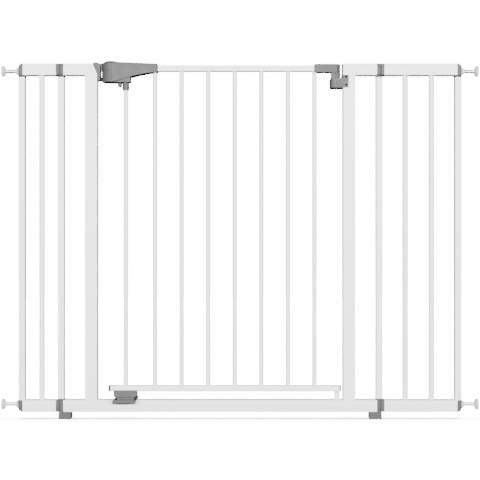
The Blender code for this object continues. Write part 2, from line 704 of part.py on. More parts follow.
def make_door_tubes(paint, plastic, door):
    half = DOOR_RAIL_DEPTH / 2
    rail_start = LATCH_FACE + RAIL_START
    rail_end = HINGE_X - POST_RADIUS - GAP
    top = square_tube("X", -half, half, DOOR_HIGH_LOW, DOOR_HIGH, rail_start, rail_end)
    top_rail = piece("door_top_rail", top, paint, door)
    pivot = (LEVER_PIVOT_X, 0, LEVER_PIVOT_Z)
    cut(top_rail, rod_shape("Y", pivot, LEVER_PIN / 2 + PIN_CLEARANCE, -RAIL, RAIL), door)
    low_start = LATCH_FACE + LATCH_END_SETBACK
    low_end = HINGE_X + HINGE_END_PAST_AXIS
    bottom = square_tube("X", -half, half, DOOR_LOW, DOOR_LOW_HIGH, low_start, low_end)
    bottom_rail = piece("door_bottom_rail", bottom, paint, door)
    rod_hole = BAR / 2 + ROD_CLEARANCE
    span = (DOOR_LOW - RAIL, DOOR_LOW_HIGH + RAIL)
    cut(bottom_rail, rod_shape("Z", (ROD_X, 0, 0), rod_hole, *span), door)
    pin_hole = PIN / 2 + PIN_CLEARANCE
    pin_top = DOOR_LOW_HIGH - 2 * TUBE_WALL
    cut(bottom_rail, rod_shape("Z", (HINGE_X, 0, 0), pin_hole, DOOR_LOW - RAIL, pin_top), door)
    for number in range(DOOR_BARS):
        x = FIRST_BAR_X - number * BAR_PITCH
        shape = round_bar(x, BAR, BAR_WALL, DOOR_LOW_HIGH + GAP, DOOR_HIGH_LOW - GAP)
        piece(f"door_bar_{number + 1}", shape, paint, door)
    make_end_plug("door_latch_end_plug", -1, low_start, plastic, door)
    make_end_plug("door_hinge_end_plug", 1, low_end, plastic, door)


def make_end_plug(name, outward, end, plastic, door):
    """A plug with rounded corners in the open end of the door's bottom rail."""
    half = DOOR_RAIL_DEPTH / 2
    start, tip = end + outward * GAP, end + outward * END_PLUG
    radii = {1: [END_PLUG_ROUND, 0, 0, END_PLUG_ROUND], -1: [0, END_PLUG_ROUND, END_PLUG_ROUND, 0]}
    outline = rounded_outline(min(start, tip), max(start, tip), -half, half, radii[outward])
    plug = piece(name, prism("Z", outline, DOOR_LOW, DOOR_LOW_HIGH), plastic, door)
    inset = TUBE_WALL + SPIGOT_FIT
    reach = sorted((start + outward * GAP, end - outward * END_PLUG_TONGUE))
    tongue = block(*reach, inset - half, half - inset, DOOR_LOW + inset, DOOR_LOW_HIGH - inset)
    fuse(plug, tongue, door)


def make_hinge_bracket(plastic, steel, door):
    """The door's half of the upper hinge: a sleeve over the top rail and a post around the pin."""
    low_z = DOOR_HIGH_LOW - GAP - BRACKET_WALL_LOW
    high_z = DOOR_HIGH + GAP + BRACKET_WALL_HIGH
    left = FIRST_BAR_X - BRACKET_PAST_BAR
    right = HINGE_X - BRACKET_SHOULDER
    half = BRACKET_HALF_DEPTH
    outline = rounded_outline(left, right, low_z, high_z, [0, BRACKET_ROUND, BRACKET_ROUND, 0])
    bracket = piece("hinge_bracket", prism("Y", outline, -half, half), plastic, door)
    post_low = HOUSING_HIGH + GAP
    post = rod_shape("Z", (HINGE_X, 0, 0), POST_RADIUS, post_low, high_z, FINE_STEPS)
    fuse(bracket, post, door)
    web = POST_RADIUS - GAP
    span = (HINGE_X - POST_WEB, HINGE_X - POST_RADIUS / 2)
    fuse(bracket, block(*span, -web, web, post_low, high_z - GAP), door)
    inner = DOOR_RAIL_DEPTH / 2 + GAP
    rail_end = HINGE_X - POST_RADIUS
    pocket = block(left - RAIL, rail_end, -inner, inner, DOOR_HIGH_LOW - GAP, DOOR_HIGH + GAP)
    cut(bracket, pocket, door)
    notch = BAR / 2 + ROD_CLEARANCE
    cut(bracket, rod_shape("Z", (FIRST_BAR_X, 0, 0), notch, low_z - RAIL, DOOR_HIGH_LOW), door)
    bore = PIN / 2 + PIN_CLEARANCE
    pin_top = DOOR_HIGH_LOW + PIN
    cut(bracket, rod_shape("Z", (HINGE_X, 0, 0), bore, post_low - RAIL, pin_top + GAP), door)
    pin_low = HOUSING_LOW - ADJUSTER_STANDS_OUT + ADJUSTER_HEIGHT + GAP
    pin = rod_shape("Z", (HINGE_X, 0, 0), PIN / 2, pin_low, pin_top)
    piece("upper_hinge_pin", pin, steel, door)
    low_tip = DOOR_LOW - BUSH_DROP - BUSH_BORE_DEPTH + GAP
    lower = rod_shape("Z", (HINGE_X, 0, 0), PIN / 2, low_tip, DOOR_LOW_HIGH - 2 * TUBE_WALL - GAP)
    piece("lower_hinge_pin", lower, steel, door)


def make_latch_guide(plastic, door):
    low_z, high_z = DOOR_LOW - GUIDE_HEIGHT, DOOR_LOW - GAP
    left, right = ROD_X - GUIDE_BEFORE_ROD, ROD_X + GUIDE_PAST_ROD
    chamfer = GUIDE_CHAMFER
    outline = [
        (left, high_z), (left, low_z + chamfer / 2), (left + chamfer / 2, low_z),
        (right - chamfer, low_z), (right, low_z + chamfer), (right, high_z),
    ]
    half = GUIDE_HALF_DEPTH
    guide = piece("latch_guide", prism("Y", outline, -half, half), plastic, door)
    bore = BAR / 2 + ROD_CLEARANCE
    cut(guide, rod_shape("Z", (ROD_X, 0, 0), bore, low_z - RAIL, high_z + RAIL), door)


# --- Handle ----------------------------------------------------------------------------------


def lever_underside(x):
    """Height of the lever's lower edge: a chin, the flat barrel, then a swept-up tail."""
    from_left = x - LEVER_LEFT
    if from_left < LEVER_CHIN_RUN:
        return LEVER_BOTTOM + LEVER_CHIN_RISE * (1 - from_left / LEVER_CHIN_RUN)
    if from_left < LEVER_SWEEP_START:
        return LEVER_BOTTOM
    share = (LEVER_RIGHT - x) / (LEVER_LENGTH - LEVER_SWEEP_START)
    tail = GATE_HEIGHT - LEVER_TAIL_DROP
    return tail - (tail - LEVER_BOTTOM) * share**LEVER_SWEEP_POWER


def lever_top(x):
    """Height of the lever's upper edge, highest at a third of its length."""
    share = (x - LEVER_LEFT) / LEVER_LENGTH
    peak = 0.3
    if share < peak:
        return GATE_HEIGHT + LEVER_PEAK - LEVER_END_DIP * (1 - share / peak) ** 2
    return GATE_HEIGHT + LEVER_PEAK * (1 - (share - peak) / (1 - peak))


def lever_half_depth(x, inset=0.0):
    """Half depth in plan: a half-round barrel, then a straight taper to the tail."""
    barrel = LEVER_LEFT + BARREL_LENGTH
    wide = BARREL_HALF_DEPTH - inset
    if x < barrel:
        return wide * math.sqrt(max(1 - ((barrel - x) / (BARREL_LENGTH - inset)) ** 2, 0.02))
    return wide - (BARREL_HALF_DEPTH - TAIL_HALF_DEPTH) * (x - barrel) / (LEVER_RIGHT - barrel)


def lever_rings(stations, inset, low, high, radius):
    """Rounded cross-sections of the handle at several places along it."""
    rings = []
    for x in stations:
        deep = lever_half_depth(x, inset)
        outline = rounded_outline(-deep, deep, low(x), high(x), [min(radius, deep / 2)] * 4)
        rings.append([(x, y, z) for y, z in outline])
    return rings


def spread(low, high, count):
    return [low + (high - low) * index / count for index in range(count + 1)]


def make_lever(plastic, door):
    pivot = Body("handle_lever_pivot", (LEVER_PIVOT_X, 0, LEVER_PIVOT_Z), door)
    barrel = LEVER_LEFT + BARREL_LENGTH
    nose_end = LEVER_LEFT + LEVER_CHIN_RUN
    stations = spread(LEVER_LEFT, nose_end, 2) + spread(nose_end, barrel, 6)[1:]
    stations += spread(barrel, LEVER_RIGHT, 9)[1:]
    rings = lever_rings(stations, 0, lever_underside, lever_top, LEVER_ROUND)
    lever = piece("handle_lever", skin(bmesh.new(), rings), plastic, pivot)
    below = LEVER_BOTTOM - RAIL
    cavity_x = LEVER_LEFT + CAVITY_START
    run = spread(cavity_x, LEVER_RIGHT + LEVER_WALL, 4)
    inner = lever_rings(run, LEVER_WALL, lambda x: below, lambda x: LEVER_INNER_TOP, CAVITY_ROUND)
    cut(lever, skin(bmesh.new(), inner), pivot)
    hollow = [LEVER_LEFT + LEVER_WALL + share for share in (0.007, 0.010, 0.014, 0.0196)]
    hollow.append(cavity_x + GAP)
    web = GATE_HEIGHT - WEB_LOW
    inner = lever_rings(hollow, LEVER_WALL + GAP, lambda x: below, lambda x: web, CAVITY_ROUND)
    cut(lever, skin(bmesh.new(), inner), pivot)
    centre = (BUTTON_X, 0, 0)
    well = LOCK_BUTTON_RADIUS + LOCK_BUTTON_FLANGE + BUTTON_CLEARANCE
    cut(lever, rod_shape("Z", centre, well, GATE_HEIGHT - WEB_HIGH, LEVER_INNER_TOP, FINE_STEPS), pivot)
    hole = LOCK_BUTTON_RADIUS + BUTTON_CLEARANCE
    span = (LEVER_INNER_TOP - GAP, GATE_HEIGHT + RAIL)
    cut(lever, rod_shape("Z", centre, hole, *span, FINE_STEPS), pivot)
    pin_reach = lever_half_depth(LEVER_PIVOT_X) - LEVER_PIN_SKIN
    pin_hole = LEVER_PIN / 2 + PIN_CLEARANCE
    cut(lever, rod_shape("Y", pivot.place, pin_hole, -pin_reach, pin_reach), pivot)
    nose_low, nose_high = GATE_HEIGHT - NOSE_LOW, GATE_HEIGHT - NOSE_HIGH
    outline = rounded_outline(
        LEVER_LEFT - NOSE_REACH, LEVER_LEFT + LEVER_WALL, nose_low, nose_high, [0, 0.0015, 0.0015, 0]
    )
    fuse(lever, prism("Y", outline, -NOSE_HALF_WIDTH, NOSE_HALF_WIDTH), pivot)
    pin_low = GATE_HEIGHT - LIFT_PIN_DROP - LIFT_PIN / 2
    wall = lever_half_depth(ROD_X)
    for side in (-1, 1):
        near, far = sorted((side * (wall - LEVER_WALL - LUG_REACH), side * (wall - LEVER_WALL / 2)))
        span = (ROD_X - LUG_BEFORE_ROD, ROD_X + LUG_PAST_ROD)
        fuse(lever, block(*span, near, far, pin_low - GAP - LUG_HEIGHT, pin_low - GAP), pivot)
    return pivot


def make_pivot_pin(steel, door):
    reach = lever_half_depth(LEVER_PIVOT_X) - LEVER_PIN_SKIN - GAP
    pin = rod_shape("Y", (LEVER_PIVOT_X, 0, LEVER_PIVOT_Z), LEVER_PIN / 2, -reach, reach)
    piece("lever_pivot_pin", pin, steel, door)


def make_lock_button(plastic, steel, pivot):
    floor = GATE_HEIGHT - WEB_HIGH
    top = GATE_HEIGHT + LOCK_BUTTON_TOP
    flange_top = LEVER_INNER_TOP - GAP
    body = Body("lock_button_slide", (BUTTON_X, 0, flange_top), pivot)
    flange_low = flange_top - LOCK_BUTTON_FLANGE_HEIGHT
    radius, flange = LOCK_BUTTON_RADIUS, LOCK_BUTTON_RADIUS + LOCK_BUTTON_FLANGE
    boss_radius = BUTTON_SPRING[0] - BUTTON_SPRING[1] - PIN_CLEARANCE
    boss_low = flange_low - LOCK_BUTTON_FLANGE_HEIGHT
    profile = [(0, boss_low), (boss_radius, boss_low), (boss_radius, flange_low), (flange, flange_low)]
    profile += [(flange, flange_top), (radius, flange_top)]
    for step in range(4):
        angle = math.radians(30 * step)
        soft = LOCK_BUTTON_ROUND
        profile.append((radius - soft + soft * math.cos(angle), top - soft + soft * math.sin(angle)))
    profile.append((0, top))
    shape = turned("Z", (BUTTON_X, 0, 0), profile, FINE_STEPS)
    piece("lock_button", shape, plastic, body)
    coil("lock_button_spring", BUTTON_X, floor + GAP, flange_low - GAP, BUTTON_SPRING, steel, pivot)


def make_handle_housing(plastic, steel, door):
    """The fixed half of the handle: it carries the rod, the finger button and the rail's end."""
    left, right = LATCH_FACE + HOUSING_START, LATCH_FACE + HOUSING_END
    web = GATE_HEIGHT - WEB_LOW - GAP
    inset = LEVER_WALL + HOUSING_FIT
    barrel = LEVER_LEFT + BARREL_LENGTH
    wide = lever_half_depth(barrel, inset)
    plan = []
    for step in range(7):
        angle = math.radians(90 + 30 * step)
        plan.append((barrel + HOUSING_NOSE * math.cos(angle), wide * math.sin(angle)))
    end = lever_half_depth(right, inset)
    plan += [(right, -end), (right, end)]
    shift = barrel - HOUSING_NOSE - left
    plan = [(u - shift if u < barrel else u, v) for u, v in plan]
    housing = piece("handle_housing", prism("Z", plan, LEVER_BOTTOM, web), plastic, door)
    tower_left = LATCH_FACE + TOWER_START
    tower_right = LATCH_FACE + RAIL_START - GAP
    deep = DOOR_RAIL_DEPTH / 2
    fuse(housing, block(tower_left, tower_right, -deep, deep, web - RAIL / 2, DOOR_HIGH), door)
    seat_low = web - RAIL / 4
    seat = deep - GAP
    fuse(housing, block(tower_left + GAP, right - GAP, -seat, seat, seat_low, DOOR_HIGH_LOW - GAP), door)
    inside = TUBE_WALL + TONGUE_FIT
    tongue_end = tower_right + TONGUE_LENGTH
    tongue = (DOOR_HIGH_LOW + inside, DOOR_HIGH - inside)
    fuse(housing, block(tower_right - GAP, tongue_end, inside - deep, deep - inside, *tongue), door)
    collar = rod_shape("Z", (ROD_X, 0, 0), COLLAR_RADIUS, LEVER_BOTTOM - COLLAR_LENGTH, LEVER_BOTTOM + GAP)
    fuse(housing, collar, door)
    roof = DOOR_HIGH - TOWER_ROOF
    bore = BAR / 2 + ROD_CLEARANCE
    cut(housing, rod_shape("Z", (ROD_X, 0, 0), bore, LEVER_BOTTOM - RAIL, roof), door)
    slot_low = GATE_HEIGHT - LIFT_PIN_DROP - LIFT_PIN / 2 - LUG_HEIGHT - 2 * GAP
    slot_high = GATE_HEIGHT - LIFT_PIN_DROP + LIFT_PIN / 2 + ROD_TRAVEL + ROD_CLEARANCE
    cut(housing, block(ROD_X - SLOT_HALF, ROD_X + SLOT_HALF, -RAIL, RAIL, slot_low, slot_high), door)
    well = FINGER_BUTTON_RADIUS + FINGER_BUTTON_FLANGE + PIN_CLEARANCE
    well_low, well_high = LEVER_BOTTOM + FINGER_LIP, GATE_HEIGHT - FINGER_WELL_TOP
    cut(housing, rod_shape("Z", (FINGER_X, 0, 0), well, well_low, well_high), door)
    mouth = FINGER_BUTTON_RADIUS + PIN_CLEARANCE
    cut(housing, rod_shape("Z", (FINGER_X, 0, 0), mouth, LEVER_BOTTOM - RAIL, well_low + GAP), door)
    make_finger_button(plastic, steel, door, well_low, well_high)


def make_finger_button(plastic, steel, door, well_low, well_high):
    flange_low = well_low + GAP
    body = Body("finger_button_slide", (FINGER_X, 0, flange_low), door)
    radius, flange = FINGER_BUTTON_RADIUS, FINGER_BUTTON_RADIUS + FINGER_BUTTON_FLANGE
    tip = LEVER_BOTTOM - FINGER_BUTTON_REACH
    profile = [(0, tip)]
    for step in range(1, 4):
        angle = math.radians(30 * step)
        profile.append((radius * math.sin(angle), tip + radius * (1 - math.cos(angle))))
    flange_high = flange_low + FINGER_BUTTON_FLANGE_HEIGHT
    profile += [(radius, flange_low), (flange, flange_low), (flange, flange_high), (0, flange_high)]
    piece("finger_button", turned("Z", (FINGER_X, 0, 0), profile), plastic, body)
    span = (flange_high + GAP, well_high - GAP)
    coil("finger_button_spring", FINGER_X, *span, FINGER_SPRING, steel, door)


def make_lock_rod(paint, door):
    """The lock rod: a tube from the catch up into the handle, with a cross pin that lifts it."""
    tip = BOTTOM_TOP + CATCH_TOP + ROD_TIP_GAP
    top = GATE_HEIGHT - ROD_TOP_DROP
    body = Body("lock_rod_slide", (ROD_X, 0, tip), door)
    radius = BAR / 2
    inner = radius - ROD_WALL
    bore_low = max(top - ROD_BORE_DEPTH, tip + 2 * radius)
    soft = radius / 3
    profile = [(0, tip), (radius - soft, tip), (radius, tip + soft), (radius, top), (inner, top),
               (inner, bore_low), (0, bore_low)]
    rod = piece("lock_rod", turned("Z", (ROD_X, 0, 0), profile), paint, body)
    pin_z = GATE_HEIGHT - LIFT_PIN_DROP
    pin = rod_shape("Y", (ROD_X, 0, pin_z), LIFT_PIN / 2, -LIFT_PIN_HALF, LIFT_PIN_HALF, 12)
    fuse(rod, pin, body)


# --- Wall spindles ---------------------------------------------------------------------------


def make_spindle(name, outward, end, z, look_rod, look_nut, frame):
    """A threaded spindle with its wall pad, and the nut that drives it to the wall."""
    face = end + outward * SPINDLE_REACH
    slide = Body(f"{name}_slide", (end, 0, z), frame)
    soft = PAD_ROUND
    back = PAD_THICK + PAD_BACK
    rod = SPINDLE_ROD / 2
    profile = [(0, -SPINDLE_REACH - SPINDLE_INSIDE), (rod, -SPINDLE_REACH - SPINDLE_INSIDE), (rod, -back)]
    profile += [(rod + soft, -back), (PAD_RADIUS, -PAD_THICK), (PAD_RADIUS, -soft)]
    profile += [(PAD_RADIUS - soft, 0), (0, 0)]
    spindle = turned("X", (face, 0, z), profile, direction=outward)
    piece(f"{name}_spindle", spindle, look_rod, slide)
    turn = Body(f"{name}_nut_turn", (end + outward * GAP, 0, z), frame)
    flange, high = NUT_FLANGE, NUT_HEIGHT
    hub = rod + SPINDLE_FIT
    profile = [(hub, 0), (NUT_RADIUS, 0), (NUT_RADIUS, flange), (NUT_HUB, flange + soft / 2),
               (NUT_HUB, high), (hub, high)]
    lobes = (NUT_LOBES, NUT_RADIUS - GAP, NUT_LOBE_DEPTH)
    nut = turned("X", turn.place, profile, FINE_STEPS, True, outward, lobes)
    piece(f"{name}_hand_nut", nut, look_nut, turn)


def main():
    clear_scene()
    paint = principled("white_paint", (0.82, 0.82, 0.82), 0.35)
    grey = principled("grey_plastic", (0.30, 0.30, 0.30), 0.5)
    cream = principled("light_plastic", (0.72, 0.72, 0.70), 0.5)
    zinc = principled("zinc_steel", (0.62, 0.62, 0.64), 0.3, 1.0)

    frame = Body("frame")
    make_frame_tubes(paint, frame)
    make_couplers("left", 1, LEFT_SEAM, grey, frame)
    make_couplers("right", -1, RIGHT_SEAM, grey, frame)
    make_strike(grey, frame)
    make_lower_catch(grey, frame)
    make_hinge_housing(grey, frame)
    weld_lower_bush(frame)
    adjuster_top = make_tension_adjuster(grey, frame)
    spring = (adjuster_top + GAP, HOUSING_HIGH - HOUSING_ROOF - GAP)
    coil("hinge_spring", HINGE_X, *spring, HINGE_SPRING, zinc, frame)
    make_extension("left", -1, LEFT_SEAM, LEFT_END, LEFT_BARS, paint, grey, frame)
    make_extension("right", 1, RIGHT_SEAM, RIGHT_END, RIGHT_BARS, paint, grey, frame)

    door = Body("door_swing", (HINGE_X, 0, 0), frame)
    make_door_tubes(paint, grey, door)
    make_hinge_bracket(grey, zinc, door)
    make_latch_guide(grey, door)
    pivot = make_lever(grey, door)
    make_pivot_pin(zinc, door)
    make_lock_button(grey, zinc, pivot)
    make_handle_housing(grey, zinc, door)
    make_lock_rod(paint, door)

    for height, z in (("upper", UPPER_SPINDLE_Z), ("lower", LOWER_SPINDLE_Z)):
        for side, outward, end in (("left", -1, LEFT_END), ("right", 1, RIGHT_END)):
            make_spindle(f"{height}_{side}", outward, end, z, zinc, cream, frame)


main()
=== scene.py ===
"""Looks of the pressure-fit safety gate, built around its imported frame.

The white tubes, the threaded spindles, the pads, the nuts, the handle and the buttons are new
surfaces worked out as whole arrays. The remaining plastic mouldings are softened copies of the
frame's own solids. Lengths are in metres, +X runs from the latch side to the hinge side, +Y away
from the front and +Z up.
"""

from __future__ import annotations

import logging
import math
from dataclasses import dataclass
from enum import Enum

import bmesh
import bpy
import numpy as np
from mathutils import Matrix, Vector


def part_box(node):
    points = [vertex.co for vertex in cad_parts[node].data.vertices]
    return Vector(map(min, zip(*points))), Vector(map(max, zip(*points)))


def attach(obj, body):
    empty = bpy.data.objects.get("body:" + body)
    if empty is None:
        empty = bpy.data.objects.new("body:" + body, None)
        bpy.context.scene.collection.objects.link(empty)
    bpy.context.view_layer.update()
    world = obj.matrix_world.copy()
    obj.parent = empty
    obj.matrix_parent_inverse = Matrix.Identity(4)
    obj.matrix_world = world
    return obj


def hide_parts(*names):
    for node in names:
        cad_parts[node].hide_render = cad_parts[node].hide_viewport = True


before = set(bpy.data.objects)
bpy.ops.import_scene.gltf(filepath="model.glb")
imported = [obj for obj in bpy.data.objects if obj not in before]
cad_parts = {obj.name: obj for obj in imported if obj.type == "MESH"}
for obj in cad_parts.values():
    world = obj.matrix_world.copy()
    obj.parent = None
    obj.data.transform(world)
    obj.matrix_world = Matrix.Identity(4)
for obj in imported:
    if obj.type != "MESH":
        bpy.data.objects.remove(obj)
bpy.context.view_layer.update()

LOG = logging.getLogger("safety_gate")
NOISE_SPAN = (0.3, 0.7)  # where most of a noise's values lie
MERGE = 1e-6  # points nearer than this are one point
SMOOTH_ANGLE = math.radians(32)
JOINT_GAP = 0.0003  # the frame leaves this between pieces that touch
OVERLAP = 0.0001  # how far a piece that closes such a gap goes into its neighbour
RIPPLE = 0.1  # share by which a weld bead's radius swells and shrinks
RIPPLE_TURN = 2.4  # radians of that swelling from one point of the bead to the next
FADE = 0.001  # distance over which a groove or a step of the handle fades out
TUBE_STEP = 0.04  # distance between the rows of points along a tube


class Slot(Enum):
    """The record's material slots."""

    WHITE = "white_paint"
    GREY = "grey_plastic"
    LIGHT = "light_plastic"
    ZINC = "zinc_steel"


class Axis(Enum):
    """The direction that a turned piece or a tube runs along, and the order of its coordinates."""

    X = (1, 2, 0)
    Y = (2, 0, 1)
    Z = (0, 1, 2)


def set_sockets(node: bpy.types.Node, values: dict[str, object]) -> None:
    """Gives a node's own inputs their values."""
    for socket, value in values.items():
        node.inputs[socket].default_value = value


class Weld(Enum):
    """The ends of an upright tube that have a weld bead: 0 is the lower end and 1 the upper."""

    NONE = ()
    FOOT = (0,)
    BOTH = (0, 1)


# --- Finishes --------------------------------------------------------------------------------


@dataclass(frozen=True)
class Finish:
    """A painted, moulded or plated surface.

    The colour drifts by `mottle` between two shades over a slow noise, the roughness drifts by
    `swing` with it, and a fine noise of `grain` features per metre raises the surface by `depth`.
    """

    name: str
    slot: Slot
    colour: tuple[float, float, float]
    roughness: float
    mottle: float = 0.03
    mottle_scale: float = 35.0
    swing: float = 0.05
    grain: float = 900.0
    depth: float = 2e-5
    metallic: float = 0.0
    coat: float = 0.0
    coat_roughness: float = 0.2
    specular: float = 0.5
    stretch: tuple[float, float, float] = (1.0, 1.0, 1.0)

    def material(self) -> bpy.types.Material:
        """The finish as a node material, made once and then shared.

        Returns:
            The material, whose patterns read the object's own coordinates.
        """
        made = bpy.data.materials.get(self.name)
        if made is not None:
            return made
        made = bpy.data.materials.new(self.name)
        made.use_nodes = True
        tree = made.node_tree
        shader = tree.nodes["Principled BSDF"]
        set_sockets(shader, {
            "Metallic": self.metallic, "Specular IOR Level": self.specular,
            "Coat Weight": self.coat, "Coat Roughness": self.coat_roughness,
        })
        place = tree.nodes.new("ShaderNodeTexCoord")
        turn = tree.nodes.new("ShaderNodeMapping")
        turn.inputs["Scale"].default_value = self.stretch
        tree.links.new(place.outputs["Object"], turn.inputs["Vector"])
        slow = self._noise(tree, turn, self.mottle_scale, 4.0)
        fine = self._noise(tree, turn, self.grain, 2.0)
        blend = tree.nodes.new("ShaderNodeMix")
        blend.data_type = "RGBA"
        shades = [tuple(c * (1 + side * self.mottle) for c in self.colour) for side in (-1, 1)]
        blend.inputs["A"].default_value = (*shades[0], 1)
        blend.inputs["B"].default_value = (*shades[1], 1)
        tree.links.new(slow.outputs["Fac"], blend.inputs["Factor"])
        tree.links.new(blend.outputs["Result"], shader.inputs["Base Color"])
        rough = tree.nodes.new("ShaderNodeMapRange")
        set_sockets(rough, {
            "From Min": NOISE_SPAN[0], "From Max": NOISE_SPAN[1],
            "To Min": self.roughness - self.swing, "To Max": self.roughness + self.swing,
        })
        tree.links.new(slow.outputs["Fac"], rough.inputs["Value"])
        tree.links.new(rough.outputs["Result"], shader.inputs["Roughness"])
        bump = tree.nodes.new("ShaderNodeBump")
        set_sockets(bump, {"Strength": 1.0, "Distance": self.depth})
        tree.links.new(fine.outputs["Fac"], bump.inputs["Height"])
        tree.links.new(bump.outputs["Normal"], shader.inputs["Normal"])
        return made

    @staticmethod
    def _noise(
        tree: bpy.types.NodeTree, source: bpy.types.Node, scale: float, detail: float
    ) -> bpy.types.Node:
        """A noise texture of `scale` features per metre on the mapped coordinates."""
        noise = tree.nodes.new("ShaderNodeTexNoise")
        set_sockets(noise, {"Scale": scale, "Detail": detail})
        tree.links.new(source.outputs["Vector"], noise.inputs["Vector"])
        return noise


POWDER_COAT = Finish(
    "satin_white_powder_coat", Slot.WHITE, (0.84, 0.84, 0.845), 0.42,
    mottle=0.012, swing=0.04, grain=650.0, depth=5e-5, coat=0.12, coat_roughness=0.3,
)
GREY_MOULDING = Finish(
    "grey_moulded_plastic", Slot.GREY, (0.054, 0.054, 0.055), 0.55,
    mottle=0.05, mottle_scale=60.0, grain=2200.0, depth=3.5e-5, specular=0.3,
)
DARK_MOULDING = Finish(
    "darker_grey_moulded_plastic", Slot.GREY, (0.047, 0.047, 0.048), 0.55,
    mottle=0.05, mottle_scale=60.0, grain=2200.0, depth=3.5e-5, specular=0.3,
)
# near-black: painted shadow, for the band at each upright's top that stands in for the shadow that
# the rail above casts there
PAINTED_SHADOW_BAND = Finish(
    "painted_shadow_band", Slot.GREY, (0.026, 0.026, 0.0265), 0.6,
    mottle=0.08, mottle_scale=90.0, grain=2400.0, depth=2e-5, specular=0.25,
)
LIGHT_MOULDING = Finish(
    "light_moulded_plastic", Slot.LIGHT, (0.60, 0.60, 0.585), 0.45,
    mottle=0.02, mottle_scale=80.0, grain=1800.0, depth=2e-5,
)
PAD_RUBBER = Finish(
    "pale_pad_rubber", Slot.LIGHT, (0.52, 0.52, 0.50), 0.75,
    mottle=0.05, mottle_scale=120.0, grain=2600.0, depth=5e-5, specular=0.3,
)
ZINC_PLATE = Finish(
    "bright_zinc_plate", Slot.ZINC, (0.74, 0.74, 0.76), 0.26,
    mottle=0.06, mottle_scale=90.0, swing=0.07, grain=1500.0, depth=1e-5, metallic=1.0,
    stretch=(0.25, 1.0, 1.0),
)
SPRING_STEEL = Finish(
    "oiled_spring_steel", Slot.ZINC, (0.32, 0.32, 0.33), 0.35,
    mottle=0.1, mottle_scale=140.0, grain=1500.0, depth=1e-5, metallic=1.0,
)
BLACK_STEEL = Finish(
    "blackened_screw_steel", Slot.ZINC, (0.004, 0.004, 0.004), 0.6,
    mottle=0.15, mottle_scale=400.0, grain=3000.0, depth=1e-5, specular=0.1,
)


# --- Arrays and meshes -----------------------------------------------------------------------


def rounded_loop(half_u: float, half_v: float, radius: float, steps: int = 8) -> np.ndarray:
    """A rectangle with round corners, going round once.

    A corner's centre lies `radius` in from both sides, and its points are
    centre + radius * (cos a, sin a) as the angle a goes through that corner's quarter turn.

    Args:
        half_u: Half the size along the first coordinate.
        half_v: Half the size along the second.
        radius: Corner radius.
        steps: Points in each quarter, less one.

    Returns:
        An array of 4 * (steps + 1) points by 2.
    """
    turn = np.linspace(0, np.pi / 2, steps + 1)
    angle = (np.arange(4)[:, None] * np.pi / 2 + turn).ravel()
    side_u = np.repeat([1, -1, -1, 1], steps + 1)
    side_v = np.repeat([1, 1, -1, -1], steps + 1)
    u = side_u * (half_u - radius) + radius * np.cos(angle)
    v = side_v * (half_v - radius) + radius * np.sin(angle)
    return np.stack([u, v], axis=1)


def circle(radius: float, steps: int = 48) -> np.ndarray:
    """Points radius * (cos a, sin a) for equal steps of a once round, as a steps by 2 array."""
    angle = np.linspace(0, 2 * np.pi, steps, endpoint=False)
    return radius * np.stack([np.cos(angle), np.sin(angle)], axis=1)


def arc(
    centre: tuple[float, float], radius: float, start: float, end: float, steps: int = 6
) -> np.ndarray:
    """Points centre + radius * (cos a, sin a) for a from start to end, in degrees."""
    angle = np.radians(np.linspace(start, end, steps + 1))
    return np.array(centre) + radius * np.stack([np.cos(angle), np.sin(angle)], axis=1)


def ordered(axis: Axis, u: np.ndarray, v: np.ndarray, along: np.ndarray) -> np.ndarray:
    """Stacks the two coordinates across an axis and the one along it as X, Y and Z."""
    values = {axis.value[0]: u, axis.value[1]: v, axis.value[2]: along}
    return np.stack(np.broadcast_arrays(values[0], values[1], values[2]), axis=-1)


class Surface:
    """Closed sheets that are gathered into one mesh."""

    def __init__(self) -> None:
        """Starts with no points and no faces."""
        self.points: list[np.ndarray] = []
        self.faces: list[list[int]] = []
        self.count = 0

    def grid(self, grid: np.ndarray, wrap_rows: bool = False, caps: bool = True) -> "Surface":
        """Adds the quads of a grid whose columns wrap round.

        Point (r, c) joins (r, c + 1), (r + 1, c + 1) and (r + 1, c), with c taken modulo the
        number of columns, and r modulo the rows if they wrap too.

        Args:
            grid: Rows by columns by 3.
            wrap_rows: Whether the last row joins the first, as on a ring.
            caps: Whether a face closes the first row and the last.

        Returns:
            This surface.
        """
        rows, columns = grid.shape[:2]
        index = np.arange(rows * columns).reshape(rows, columns) + self.count
        lower = index if wrap_rows else index[:-1]
        upper = np.roll(index, -1, axis=0) if wrap_rows else index[1:]
        quads = np.stack(
            [lower, np.roll(lower, -1, axis=1), np.roll(upper, -1, axis=1), upper], axis=-1
        )
        self.faces.extend(quads.reshape(-1, 4).tolist())
        if caps and not wrap_rows:
            self.faces.append(index[0][::-1].tolist())
            self.faces.append(index[-1].tolist())
        self.points.append(grid.reshape(-1, 3))
        self.count += rows * columns
        return self

    def build(self, name: str, sharp: float = SMOOTH_ANGLE) -> bpy.types.Object:
        """The sheets as an object at the origin, merged, facing outwards and smooth.

        Args:
            name: Object name.
            sharp: Edges that turn more than this stay sharp.

        Returns:
            The object, linked to the scene.
        """
        mesh = bpy.data.meshes.new(name)
        mesh.from_pydata(np.concatenate(self.points), [], self.faces)
        shape = bmesh.new()
        shape.from_mesh(mesh)
        bmesh.ops.remove_doubles(shape, verts=shape.verts, dist=MERGE)
        bmesh.ops.recalc_face_normals(shape, faces=shape.faces)
        if shape.calc_volume(signed=True) < 0:
            bmesh.ops.reverse_faces(shape, faces=shape.faces)
        shape.to_mesh(mesh)
        shape.free()
        mesh.shade_smooth()
        mesh.set_sharp_from_angle(angle=sharp)
        made = bpy.data.objects.new(name, mesh)
        bpy.context.scene.collection.objects.link(made)
        return made


